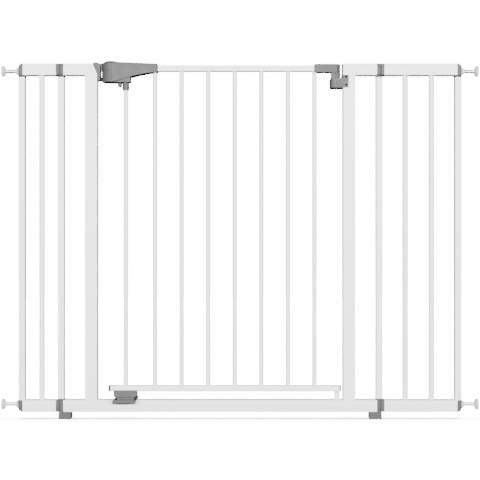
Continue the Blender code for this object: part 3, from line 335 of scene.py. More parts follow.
def straight(axis: Axis, section: np.ndarray, centre: Vector, stops: np.ndarray) -> np.ndarray:
    """A section carried straight along an axis.

    Row i is the section moved to the centre across the axis and to stops[i] along it.

    Args:
        axis: Direction of the run.
        section: Points by 2, about the centre.
        centre: A point on the run's middle line.
        stops: Places along the axis.

    Returns:
        Grid of len(stops) by points by 3.
    """
    across = [centre[axis.value[0]], centre[axis.value[1]]]
    shifted = section + across
    return ordered(axis, shifted[None, :, 0], shifted[None, :, 1], np.asarray(stops)[:, None])


def stepped(
    axis: Axis,
    half: tuple[float, float],
    radius: float,
    centre: Vector,
    levels: list[tuple[float, float]],
) -> np.ndarray:
    """A rounded rectangle carried along an axis and drawn in by its own inset at each level.

    Row i is the rectangle of half sizes half - inset_i with corners of radius - inset_i, moved to
    the centre across the axis and to stop_i along it.

    Args:
        axis: Direction of the run.
        half: Half sizes across it.
        radius: Corner radius.
        centre: A point on the run's middle line.
        levels: Pairs of (stop, inset).

    Returns:
        Grid of levels by points by 3.
    """
    return np.concatenate([
        straight(
            axis,
            rounded_loop(half[0] - inset, half[1] - inset, radius - inset),
            centre,
            np.array([stop]),
        )
        for stop, inset in levels
    ])


def turned(
    axis: Axis,
    centre: Vector,
    profile: np.ndarray,
    direction: float = 1.0,
    steps: int = 48,
    lobes: int = 0,
    swell: np.ndarray | None = None,
) -> np.ndarray:
    """A profile turned about an axis.

    The point for profile row i and angle a lies at radius r_i + swell_i * cos(lobes * a) and at
    height h_i along the axis.

    Args:
        axis: The axis that it turns about.
        centre: Where height 0 lies.
        profile: Rows of (radius, height).
        direction: 1 or -1, the way that height goes along the axis.
        steps: Points once round.
        lobes: Number of waves once round.
        swell: Height of the waves for each row.

    Returns:
        Grid of rows by steps by 3.
    """
    angle = np.linspace(0, 2 * np.pi, steps, endpoint=False)
    wave = np.zeros(len(profile)) if swell is None else swell
    radius = profile[:, :1] + wave[:, None] * np.cos(lobes * angle)
    height = np.broadcast_to(direction * profile[:, 1:], radius.shape)
    return ordered(axis, radius * np.cos(angle), radius * np.sin(angle), height) + np.array(centre)


def bead(
    loop: np.ndarray, centre: Vector, height: float, radius: float, steps: int = 10
) -> np.ndarray:
    """A weld bead laid round an upright where it meets a rail.

    With n the outward normal of the flat loop, the point at loop place s and angle a is
    loop(s) + r(s) * (cos a * n(s) + sin a * up), and r(s) swells and shrinks by a tenth along it.

    Args:
        loop: Points by 2, the outline that the bead follows, about the centre.
        centre: Middle of the loop.
        height: Height of the bead's middle line.
        radius: Radius of the bead.
        steps: Points round the bead.

    Returns:
        Grid of steps by points by 3, which wraps both ways.
    """
    ahead = np.roll(loop, -1, axis=0) - np.roll(loop, 1, axis=0)
    normal = np.stack([ahead[:, 1], -ahead[:, 0]], axis=1)
    normal /= np.linalg.norm(normal, axis=1, keepdims=True)
    ripple = radius * (1 + RIPPLE * np.sin(np.arange(len(loop)) * RIPPLE_TURN))
    angle = np.linspace(0, 2 * np.pi, steps, endpoint=False)[:, None]
    flat = loop[None] + (ripple * np.cos(angle))[..., None] * normal[None]
    return np.concatenate(
        [flat + [centre[0], centre[1]], (height + ripple * np.sin(angle))[..., None]], axis=2
    )


def box_of(node: str) -> tuple[Vector, Vector, Vector]:
    """Lowest corner, highest corner and middle of a frame node at rest."""
    low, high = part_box(node)
    return low, high, (low + high) / 2


def points_of(mesh: bpy.types.Mesh) -> np.ndarray:
    """The mesh's points, as rows of three."""
    points = np.empty(len(mesh.vertices) * 3)
    mesh.vertices.foreach_get("co", points)
    return points.reshape(-1, 3)


def softened_copy(
    node: str, name: str, width: float, segments: int = 3, angle: float = 28.0
) -> bpy.types.Object:
    """A copy of a frame node whose edges are rounded as on a moulding.

    The node's loose triangles are merged by rounding their points to a grid, the flat ones are
    joined, and every edge that turns more than the angle gets a bevel.

    Args:
        node: Node to copy.
        name: Name of the new object.
        width: Width of the rounding.
        segments: Faces across the rounding.
        angle: Smallest turn, in degrees, that is rounded.

    Returns:
        The new object.
    """
    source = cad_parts[node].data
    points = points_of(source)
    source.calc_loop_triangles()
    corners = np.empty(len(source.loop_triangles) * 3, np.int32)
    source.loop_triangles.foreach_get("vertices", corners)
    _, first, index = np.unique(
        np.round(points / MERGE), axis=0, return_index=True, return_inverse=True
    )
    triangles = index.reshape(-1)[corners].reshape(-1, 3)
    distinct = (triangles != np.roll(triangles, 1, axis=1)).all(axis=1)
    mesh = bpy.data.meshes.new(name)
    mesh.from_pydata(points[first], [], triangles[distinct].tolist())
    shape = bmesh.new()
    shape.from_mesh(mesh)
    bmesh.ops.remove_doubles(shape, verts=shape.verts, dist=5 * MERGE)
    bmesh.ops.dissolve_limit(
        shape, angle_limit=math.radians(1.0), verts=shape.verts, edges=shape.edges
    )
    shape.to_mesh(mesh)
    shape.free()
    mesh.shade_smooth()
    made = bpy.data.objects.new(name, mesh)
    bpy.context.scene.collection.objects.link(made)
    soften(made, width, segments, angle)
    return made


def soften(made: bpy.types.Object, width: float, segments: int = 3, angle: float = 28.0) -> None:
    """Rounds an object's edges that turn more than an angle, in degrees, by a width."""
    bevel = made.modifiers.new("rounded_edges", "BEVEL")
    bevel.width = width
    bevel.segments = segments
    bevel.limit_method = "ANGLE"
    bevel.angle_limit = math.radians(angle)
    bevel.harden_normals = True
    bevel.use_clamp_overlap = True


def stretch(made: bpy.types.Object, axis: int, place: float, by: float) -> None:
    """Moves the points that lie in one plane, so that a piece closes up to the next.

    Args:
        made: The piece.
        axis: 0, 1 or 2, the direction that the plane faces.
        place: Where the plane lies.
        by: How far its points move.
    """
    points = points_of(made.data)
    points[np.abs(points[:, axis] - place) < JOINT_GAP / 2, axis] += by
    made.data.vertices.foreach_set("co", points.ravel())


def swell(made: bpy.types.Object, middle: Vector, share: float) -> None:
    """Moves each point away from the line along X through a middle, to `share` of its distance."""
    offset = points_of(made.data) - np.array(middle)
    grown = np.array(middle) + offset * [1, share, share]
    made.data.vertices.foreach_set("co", grown.ravel())


def carve(made: bpy.types.Object, cutter: bpy.types.Object) -> None:
    """Takes the cutter's shape out of an object's mesh and removes the cutter."""
    modifier = made.modifiers.new("carve", "BOOLEAN")
    modifier.operation = "DIFFERENCE"
    modifier.solver = "EXACT"
    modifier.object = cutter
    graph = bpy.context.evaluated_depsgraph_get()
    carved = bpy.data.meshes.new_from_object(made.evaluated_get(graph))
    made.modifiers.clear()
    made.data = carved
    carved.set_sharp_from_angle(angle=SMOOTH_ANGLE)
    bpy.data.objects.remove(cutter)


def settle(made: bpy.types.Object, finish: Finish, body: str, *nodes: str) -> bpy.types.Object:
    """Gives a piece its finish, its body and the nodes that it stands for.

    Args:
        made: The piece, at the origin with its place in its mesh.
        finish: Finish of its first material.
        body: Body that it rides on.
        *nodes: Frame nodes that it replaces.

    Returns:
        The piece.
    """
    made.data.materials.clear()
    made.data.materials.append(finish.material())
    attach(made, body)
    if nodes:
        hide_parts(*nodes)
    LOG.info("%s rides on %s", made.name, body)
    return made


def piece(
    name: str,
    grid: np.ndarray,
    finish: Finish,
    body: str,
    *nodes: str,
    ring: bool = False,
    caps: bool = True,
) -> bpy.types.Object:
    """One grid, built and settled as a piece.

    Args:
        name: Object name.
        grid: Rows by columns by 3.
        finish: Its finish.
        body: Body that it rides on.
        *nodes: Frame nodes that it replaces.
        ring: Whether the last row joins the first.
        caps: Whether a face closes the first row and the last.

    Returns:
        The piece.
    """
    made = Surface().grid(grid, wrap_rows=ring, caps=caps).build(name)
    return settle(made, finish, body, *nodes)


# --- Tubes -----------------------------------------------------------------------------------


@dataclass
class Tubes:
    """The white steel tubes of the frame, the extensions and the door, with their weld beads."""

    round_edge: float = 0.0012
    weld: float = 0.00045
    # thickness and height of the near-black band of painted shadow at an upright's top
    sleeve_wall: float = 0.00025
    sleeve_height: float = 0.0036
    mitre_run: float = 0.010
    mitre_start: float = 0.002
    bush_top: float = 0.0062
    bush_foot: float = 0.0050
    bush_flare: float = 0.0012
    bush_root: float = 0.001
    bush_rim: float = 0.0006
    door_bars: int = 7

    def build(self) -> None:
        """Makes every tube of the frame and of the door."""
        for node in (
            "right_top_rail", "left_extension_top_rail", "left_extension_bottom_rail",
            "right_extension_top_rail", "right_extension_bottom_rail",
        ):
            self.tube(node, Axis.X, "frame")
        for node in ("door_top_rail", "door_bottom_rail"):
            self.tube(node, Axis.X, "door")
        self.mitred_rail()
        self.bottom_rail()
        for node in ("left_pillar", "right_pillar"):
            self.tube(node, Axis.Z, "frame", Weld.BOTH)
        for node in (
            "left_upright", "right_upright", "left_extension_upright", "right_extension_upright"
        ):
            weld = Weld.FOOT if "extension" in node else Weld.NONE
            self.tube(node, Axis.Z, "frame", weld)
            # a band of painted shadow where the rail above shades the upright's top
            self.shadow_sleeve(node)
        for node in ("left_extension_bar", "right_extension_bar_1", "right_extension_bar_2"):
            self.tube(node, Axis.Z, "frame", Weld.BOTH, bar=True)
        for number in range(1, self.door_bars + 1):
            self.tube(f"door_bar_{number}", Axis.Z, "door", Weld.BOTH, bar=True)

    def tube(
        self, node: str, axis: Axis, body: str, weld: Weld = Weld.NONE, bar: bool = False
    ) -> None:
        """A rounded rectangle, or a circle for a bar, carried along the length of a node's box.

        Args:
            node: Node that gives the box.
            axis: Direction of the run.
            body: Body that it rides on.
            weld: Ends that have a bead.
            bar: Whether the tube is round.
        """
        low, high, middle = box_of(node)
        u, v, along = axis.value
        half_u, half_v = (high[u] - low[u]) / 2, (high[v] - low[v]) / 2
        section = circle(half_u) if bar else rounded_loop(half_u, half_v, self.round_edge)
        stops = self.stops(low[along], high[along])
        surface = Surface().grid(straight(axis, section, middle, stops))
        for end in weld.value:
            height = (low, high)[end].z
            surface.grid(bead(section, middle, height, self.weld), wrap_rows=True)
        settle(surface.build(f"{node}_tube"), POWDER_COAT, body, node)

    def shadow_sleeve(self, node: str) -> None:
        """Painted shadow of the rail: a near-black band round an upright's top, a rounded rectangle
        with soft rims.
        """
        low, high, middle = box_of(node)
        half_u, half_v = (high.x - low.x) / 2, (high.y - low.y) / 2
        levels = [
            (high.z - self.sleeve_height * (1 - share), -self.sleeve_wall * out)
            for share, out in ((0.0, 0.0), (0.15, 1.0), (0.85, 1.0), (1.0, 0.7))
        ]
        grid = stepped(Axis.Z, (half_u, half_v), self.round_edge, middle, levels)
        # near-black band that paints the rail's shadow on the upright's top
        piece(f"{node}_sleeve", grid, PAINTED_SHADOW_BAND, "frame")

    @staticmethod
    def stops(low: float, high: float) -> np.ndarray:
        """Places along a tube, about one tube step apart."""
        return np.linspace(low, high, max(2, int((high - low) / TUBE_STEP) + 1))

    def mitred_rail(self) -> None:
        """The left top rail, whose end slopes back: x falls by the mitre's slope times height."""
        low, high, middle = box_of("left_top_rail")
        half = (high.z - low.z) / 2
        section = rounded_loop((high.y - low.y) / 2, half, self.round_edge)
        grid = straight(Axis.X, section, middle, self.stops(low.x, high.x))
        above = np.clip(grid[-1, :, 2] - low.z - self.mitre_start, 0, None)
        grid[-1, :, 0] -= above * self.mitre_run / (2 * half - self.mitre_start)
        piece("left_top_rail_tube", grid, POWDER_COAT, "frame", "left_top_rail")

    def bottom_rail(self) -> None:
        """The bottom rail, with the tapered bush that is welded on it for the lower hinge pin."""
        low, high, _ = box_of("bottom_rail")
        pin_low, pin_high, pin = box_of("lower_hinge_pin")
        pillar_low, _, _ = box_of("left_pillar")
        top = pillar_low.z
        middle = Vector(((low.x + high.x) / 2, 0, (low.z + top) / 2))
        section = rounded_loop((high.y - low.y) / 2, (top - low.z) / 2, self.round_edge)
        surface = Surface().grid(straight(Axis.X, section, middle, self.stops(low.x, high.x)))
        bore = (pin_high.x - pin_low.x) / 2 + JOINT_GAP
        foot, flare, rim = top - self.bush_root, self.bush_flare, self.bush_rim
        profile = np.array([
            (bore, foot), (self.bush_foot + flare, foot), (self.bush_foot + flare, top),
            (self.bush_foot + flare / 3, top + flare / 2), (self.bush_foot, top + flare),
            (self.bush_top, high.z - rim), (self.bush_top - rim / 3, high.z - rim / 3),
            (self.bush_top - rim, high.z), (bore + rim / 2, high.z), (bore, high.z - rim / 2),
        ])
        surface.grid(turned(Axis.Z, Vector((pin.x, pin.y, 0)), profile), wrap_rows=True)
        settle(surface.build("bottom_rail_tube"), POWDER_COAT, "frame", "bottom_rail")


# --- Frame mouldings -------------------------------------------------------------------------


@dataclass
class FrameMouldings:
    """The frame's plastic: couplers with feet, end caps, the strike, the catch and the hinge."""

    edge: float = 0.0005
    seam_offset: float = 0.0028
    seam_groove: float = 0.0012
    corner: float = 0.0021
    cap_length: float = 0.0084
    plug_length: float = 0.0080
    cap_overlap: float = 0.0024
    plug_round: float = 0.0003
    proud: float = 0.0001
    foot_length: float = 0.0272
    foot_height: float = 0.0157
    foot_round: float = 0.0031
    foot_overhang: float = 0.0022
    foot_half_depth: float = 0.0123
    stem_inset: float = 0.0008
    stem_rise: float = 0.008
    stem_start: float = 0.0014
    toe_round: float = 0.0006
    heel_slope: float = 0.001
    neck_wall: float = 0.0005
    neck_round: float = 0.0018
    neck_root: float = 0.002
    neck_lip: tuple[float, float, float] = (0.0007, 0.0003, 0.0006)
    cheek_half: tuple[float, float, float] = (0.0016, 0.0010, 0.0048)
    cheek_round: float = 0.0004
    cheek_offset: tuple[float, float, float] = (0.0008, -0.0011, 0.0049)
    screw_radius: float = 0.00215
    screw_height: float = 0.0009
    screw_inset: float = 0.0058
    screw_drop: float = 0.0038
    screw_spacing: float = 0.0172
    plate_reach: float = 0.0113
    shelf_drop: float = 0.0041
    lip_half: float = 0.0011
    lip_height: float = 0.0028
    lip_root: float = 0.0010
    lip_round: float = 0.0006
    lip_inset: float = 0.0003
    cross_half: float = 0.17  # this and the next four are shares of a screw head's size
    cross_fade: float = 0.05
    cross_reach: float = 0.68
    cross_end: float = 0.1
    cross_depth: float = 0.6
    screw_seat: float = 1.4
    housing_height: float = 0.020
    plate_rise: float = 0.0073
    rib_half: tuple[float, float] = (0.0026, 0.0012)
    rib_round: float = 0.001
    rib_place: float = 0.0150
    rib_height: float = 0.0026
    rib_edge: float = 0.0004
    stop_offset: float = 0.0076

    def build(self) -> None:
        """Makes each moulding that stays with the frame."""
        for side, inward in (("left", 1), ("right", -1)):
            for level in ("upper", "foot"):
                self.coupler(f"{side}_{level}_coupler", inward)
            for level in ("upper", "lower"):
                node = f"{side}_{level}_end_cap"
                low, high, middle = box_of(node)
                made = softened_copy(node, f"{node}_moulding", self.edge)
                stretch(made, 0, high.x if inward > 0 else low.x, inward * self.cap_overlap)
                swell(made, middle, 1 + 2 * self.proud / (high.y - low.y))
                settle(made, DARK_MOULDING, "frame", node)
        settle(
            softened_copy("strike_plate", "strike_moulding", self.edge),
            GREY_MOULDING, "frame", "strike_plate",
        )
        self.catch()
        self.cheek()
        settle(
            softened_copy("hinge_housing", "hinge_housing_moulding", self.edge, angle=40),
            GREY_MOULDING, "frame", "hinge_housing",
        )
        self.screws()
        self.door_stops()

    def coupler(self, node: str, inward: int) -> None:
        """A coupler: the frame's cap and the extension's plug, which meet in a V groove.

        Each half is a rounded square carried along X. Its half width is w at the far end, and
        falls by the groove's depth over the same distance next to the seam.

        Args:
            node: Node that it stands for.
            inward: 1 if the frame lies towards +X.
        """
        side = node.split("_")[0]
        run = "top" if "upper" in node else "bottom"
        rail_low, rail_high, rail = box_of(f"{side}_extension_{run}_rail")
        _, _, upright = box_of(f"{side}_upright")
        seam = upright.x - inward * self.seam_offset
        half, groove = (rail_high.y - rail_low.y) / 2 + self.proud, self.seam_groove
        surfaces = []
        for way, length in ((inward, self.cap_length), (-inward, self.plug_length)):
            soft = self.plug_round
            steps = ((0.0, groove), (groove, 0.0), (length - soft, 0.0), (length, soft))
            levels = [(seam + way * along, inset) for along, inset in steps]
            surfaces.append(
                Surface().grid(stepped(Axis.X, (half, half), self.corner, rail, levels))
            )
        cap = surfaces[0]
        if "foot" in node:
            cap.grid(self.foot(seam, inward))
            cap.grid(self.neck(side, rail_high.z))
        settle(cap.build(f"{node}_cap"), DARK_MOULDING, "frame", node)
        settle(surfaces[1].build(f"{node}_plug"), GREY_MOULDING, "frame", node)

    def foot(self, seam: float, inward: int) -> np.ndarray:
        """The foot that runs on down from the cap, as an L with round lower corners.

        The outline in x and z is swept through y, with its first and last rows drawn in by the
        edge's rounding.

        Args:
            seam: Where the cap meets the plug.
            inward: 1 if the frame lies towards +X.

        Returns:
            Grid of rows by points by 3.
        """
        low, _, _ = box_of(f"{'left' if inward > 0 else 'right'}_foot_coupler")
        reach, top, soft = self.foot_length, self.foot_height, self.foot_round
        cap_end, neck = self.cap_length - self.stem_inset, top + self.stem_rise
        start, stem, toe = -self.foot_overhang, self.stem_start, self.toe_round
        outline = np.concatenate([
            arc((start + soft, soft), soft, 180, 270, 6),
            arc((reach + start - soft, soft), soft, 270, 360, 6),
            arc((reach + start - toe, top - toe), toe, 0, 90, 3),
            [(cap_end, top), (cap_end, neck), (stem, neck)],
            [(stem, top + self.stem_rise / 2), (start, top - self.heel_slope)],
        ])
        middle = np.array([(reach + start) / 2, top / 2])
        depth, edge = self.foot_half_depth, self.edge
        toward = middle - outline
        rows = []
        for y, inset in ((-depth, edge), (-depth + edge, 0.0), (depth - edge, 0.0), (depth, edge)):
            near = outline + toward / np.linalg.norm(toward, axis=1, keepdims=True) * inset
            rows.append(np.stack(
                [seam + inward * near[:, 0], np.full(len(near), y), low.z + near[:, 1]], axis=1
            ))
        return np.array(rows)

    def neck(self, side: str, top: float) -> np.ndarray:
        """The collar that takes the upright's foot: a rounded rectangle with soft rims."""
        low, high, middle = box_of(f"{side}_upright")
        wall = self.neck_wall
        half_u, half_v = (high.x - low.x) / 2 + wall, (high.y - low.y) / 2 + wall
        under, rim, soft = self.neck_lip
        levels = [(top - self.neck_root, 0.0), (low.z - under, 0.0), (low.z - rim, soft)]
        return stepped(Axis.Z, (half_u, half_v), self.neck_round, middle, levels)

    def cheek(self) -> None:
        """A small stop at the back of the strike, beside the foot of the handle's barrel."""
        low, high, _ = box_of("strike_plate")
        half_x, half_y, half_z = self.cheek_half
        centre = Vector((high.x, high.y, low.z)) + Vector(self.cheek_offset)
        section = rounded_loop(half_x, half_y, self.cheek_round)
        grid = straight(Axis.Z, section, centre, centre.z + np.array([-half_z, half_z]))
        piece("strike_cheek", grid, DARK_MOULDING, "frame")

    def catch(self) -> None:
        """The lower catch, with a low lip along the front and the back of its shelf."""
        settle(
            softened_copy("lower_catch", "lower_catch_moulding", self.edge),
            GREY_MOULDING, "frame", "lower_catch",
        )
        low, high, _ = box_of("lower_catch")
        shelf = high.z - self.shelf_drop
        height = (self.lip_height + self.lip_root) / 2
        section = rounded_loop(self.lip_half, height, self.lip_round)
        stops = np.array([low.x + self.edge, high.x - self.edge])
        for side, name in ((-1, "front"), (1, "back")):
            y = side * (high.y - self.lip_half - self.lip_inset)
            centre = Vector((0, y, shelf + height - self.lip_root))
            grid = straight(Axis.X, section, centre, stops)
            soften(piece(f"catch_lip_{name}", grid, GREY_MOULDING, "frame"), self.lip_inset, 2)

    def screws(self) -> None:
        """Four pan-head screws that clamp the hinge housing's plates to the pillar.

        A head's height at radius r is that of a flat dome, h * (1 - (r / R) ** 4), less a cross
        recess that is deep where the smaller of |x| and |y| is under a sixth of the radius and
        fades out beyond two thirds of it.
        """
        low, high, _ = box_of("hinge_housing")
        x = high.x - self.plate_reach + self.screw_inset
        top = low.z + self.housing_height + self.plate_rise - self.screw_drop
        for side, y in ((-1, low.y), (1, high.y)):
            for row in range(2):
                z = top - row * self.screw_spacing
                share = np.linspace(0, 1, 15)[1:, None]
                angle = np.linspace(0, 2 * np.pi, 64, endpoint=False)
                radius = share * self.screw_radius
                u, v = radius * np.cos(angle), radius * np.sin(angle)
                arm = np.minimum(np.abs(u), np.abs(v)) / self.screw_radius
                recess = np.clip((self.cross_half - arm) / self.cross_fade, 0, 1) * np.clip(
                    (self.cross_reach - share) / self.cross_end, 0, 1
                )
                head = self.screw_height * (1 - share**4 - self.cross_depth * recess)
                floor = np.full((1, len(angle)), -2 * self.screw_height)
                height = np.concatenate([head, floor])
                u, v = np.concatenate([u, u[-1:]]), np.concatenate([v, v[-1:]])
                seat = y - side * self.screw_height * self.screw_seat
                grid = np.stack([x + u, seat + side * height, z + v], axis=-1)
                face = "front" if side < 0 else "back"
                piece(f"hinge_screw_{face}_{row + 1}", grid, BLACK_STEEL, "frame")

    def door_stops(self) -> None:
        """A small rounded rib at the front and the back of the catch, beside the lock rod."""
        _, high, _ = box_of("lower_catch")
        _, _, rod = box_of("lock_rod")
        shelf = high.z - self.shelf_drop
        stops = np.array([shelf - self.lip_root, shelf + self.rib_height])
        section = rounded_loop(*self.rib_half, self.rib_round)
        for side, name in ((-1, "front"), (1, "back")):
            centre = Vector((rod.x - self.stop_offset, side * self.rib_place, 0))
            grid = straight(Axis.Z, section, centre, stops)
            soften(piece(f"catch_rib_{name}", grid, DARK_MOULDING, "frame"), self.rib_edge)


# --- Door mouldings --------------------------------------------------------------------------


@dataclass
class DoorMouldings:
    """The door's plastic: the hinge bracket, the latch guide, the end plugs and the housing."""

    edge: float = 0.0005
    bracket_edge: float = 0.0009
    bracket_half: float = 0.0105
    collar_radius: float = 0.0075
    guide_wrap: float = 0.0035
    guide_reach: float = 0.0018
    plug_end: float = 0.0014
    knuckle_reach: float = 0.0106
    panel_inset: float = 0.0021
    panel_proud: float = 0.00022
    panel_end: float = 0.1892
    panel_round: float = 0.0008
    panel_edge: float = 0.00018
    bracket_foot: float = 0.0025
    knuckle_inset: float = 0.0004
    knuckle_round: float = 0.0012
    knuckle_foot: float = 0.0006
    knuckle_shy: float = 0.00005
    collar_round: float = 0.0009
    collar_bore: float = 0.0054
    collar_rise: float = 0.0166

    def build(self) -> None:
        """Makes each moulding that swings with the door."""
        for node, width, finish in (
            ("hinge_bracket", self.bracket_edge, GREY_MOULDING),
            ("latch_guide", self.edge, GREY_MOULDING),
            ("door_latch_end_plug", self.edge, DARK_MOULDING),
            ("door_hinge_end_plug", self.edge, DARK_MOULDING),
            ("handle_housing", self.edge, GREY_MOULDING),
        ):
            made = softened_copy(node, f"{node}_moulding", width, angle=36)
            low, high, _ = box_of(node)
            if node == "latch_guide":
                stretch(made, 2, high.z, self.guide_wrap)
                stretch(made, 0, low.x, -self.guide_reach)
                stretch(made, 0, high.x, self.guide_reach)
            elif node == "door_latch_end_plug":
                stretch(made, 0, high.x, JOINT_GAP + OVERLAP)
                stretch(made, 0, low.x, -self.plug_end)
            elif node == "door_hinge_end_plug":
                stretch(made, 0, low.x, -JOINT_GAP - OVERLAP)
            settle(made, finish, "door", node)
        self.bracket_panels()
        self.knuckle()
        self.rod_collar()

    def rod_collar(self) -> None:
        """The collar under the housing that guides the lock rod, turned with a soft lower rim."""
        low, _, _ = box_of("handle_housing")
        _, _, rod = box_of("lock_rod")
        radius, soft, bore = self.collar_radius, self.collar_round, self.collar_bore
        foot, top = low.z - JOINT_GAP, low.z + self.collar_rise
        profile = np.concatenate([
            [(bore, foot), (radius - soft, foot)],
            arc((radius - soft, foot + soft), soft, -75, 0, 5),
            [(radius, top), (bore, top)],
        ])
        grid = turned(Axis.Z, Vector((rod.x, rod.y, 0)), profile)
        piece("rod_guide_collar", grid, GREY_MOULDING, "door", ring=True)

    def knuckle(self) -> None:
        """The bracket's round end above the hinge: an upright elliptic column with a soft top."""
        _, high, _ = box_of("hinge_bracket")
        rail_low, _, _ = box_of("door_top_rail")
        half = np.array([self.knuckle_reach, self.bracket_half - self.knuckle_shy])
        soft, step = self.knuckle_round, self.knuckle_foot
        loop = circle(1.0, 56)
        centre = Vector((high.x - self.knuckle_reach - self.knuckle_inset, 0, 0))
        foot = rail_low.z - self.bracket_foot
        turn = np.radians([22.5, 45, 67.5, 90])
        inset = np.concatenate([[step, 0.0, 0.0], soft * (1 - np.cos(turn))])
        start = high.z - soft
        height = np.concatenate([[foot, foot + step, start], start + soft * np.sin(turn)])
        across = loop[None] * (half - inset[:, None])[:, None]
        grid = np.concatenate([
            straight(Axis.Z, flat, centre, stop[None]) for flat, stop in zip(across, height)
        ])
        piece("bracket_knuckle", grid, GREY_MOULDING, "door")

    def bracket_panels(self) -> None:
        """The raised field inside the bracket's border, on its front and on its back."""
        low, high, _ = box_of("hinge_bracket")
        rail_low, _, _ = box_of("door_top_rail")
        bottom = rail_low.z - self.bracket_foot
        half_x = (self.panel_end - low.x) / 2 - self.panel_inset
        half_z = (high.z - bottom) / 2 - self.panel_inset
        middle = Vector((low.x + self.panel_inset + half_x, 0, (high.z + bottom) / 2))
        section = rounded_loop(half_z, half_x, self.panel_round)
        for side, y, name in ((-1, -self.bracket_half, "front"), (1, self.bracket_half, "back")):
            stops = np.array([y - side * self.panel_round, y + side * self.panel_proud])
            grid = straight(Axis.Y, section, middle, stops)
            soften(piece(f"bracket_field_{name}", grid, GREY_MOULDING, "door"), self.panel_edge, 2)


# --- Handle ----------------------------------------------------------------------------------


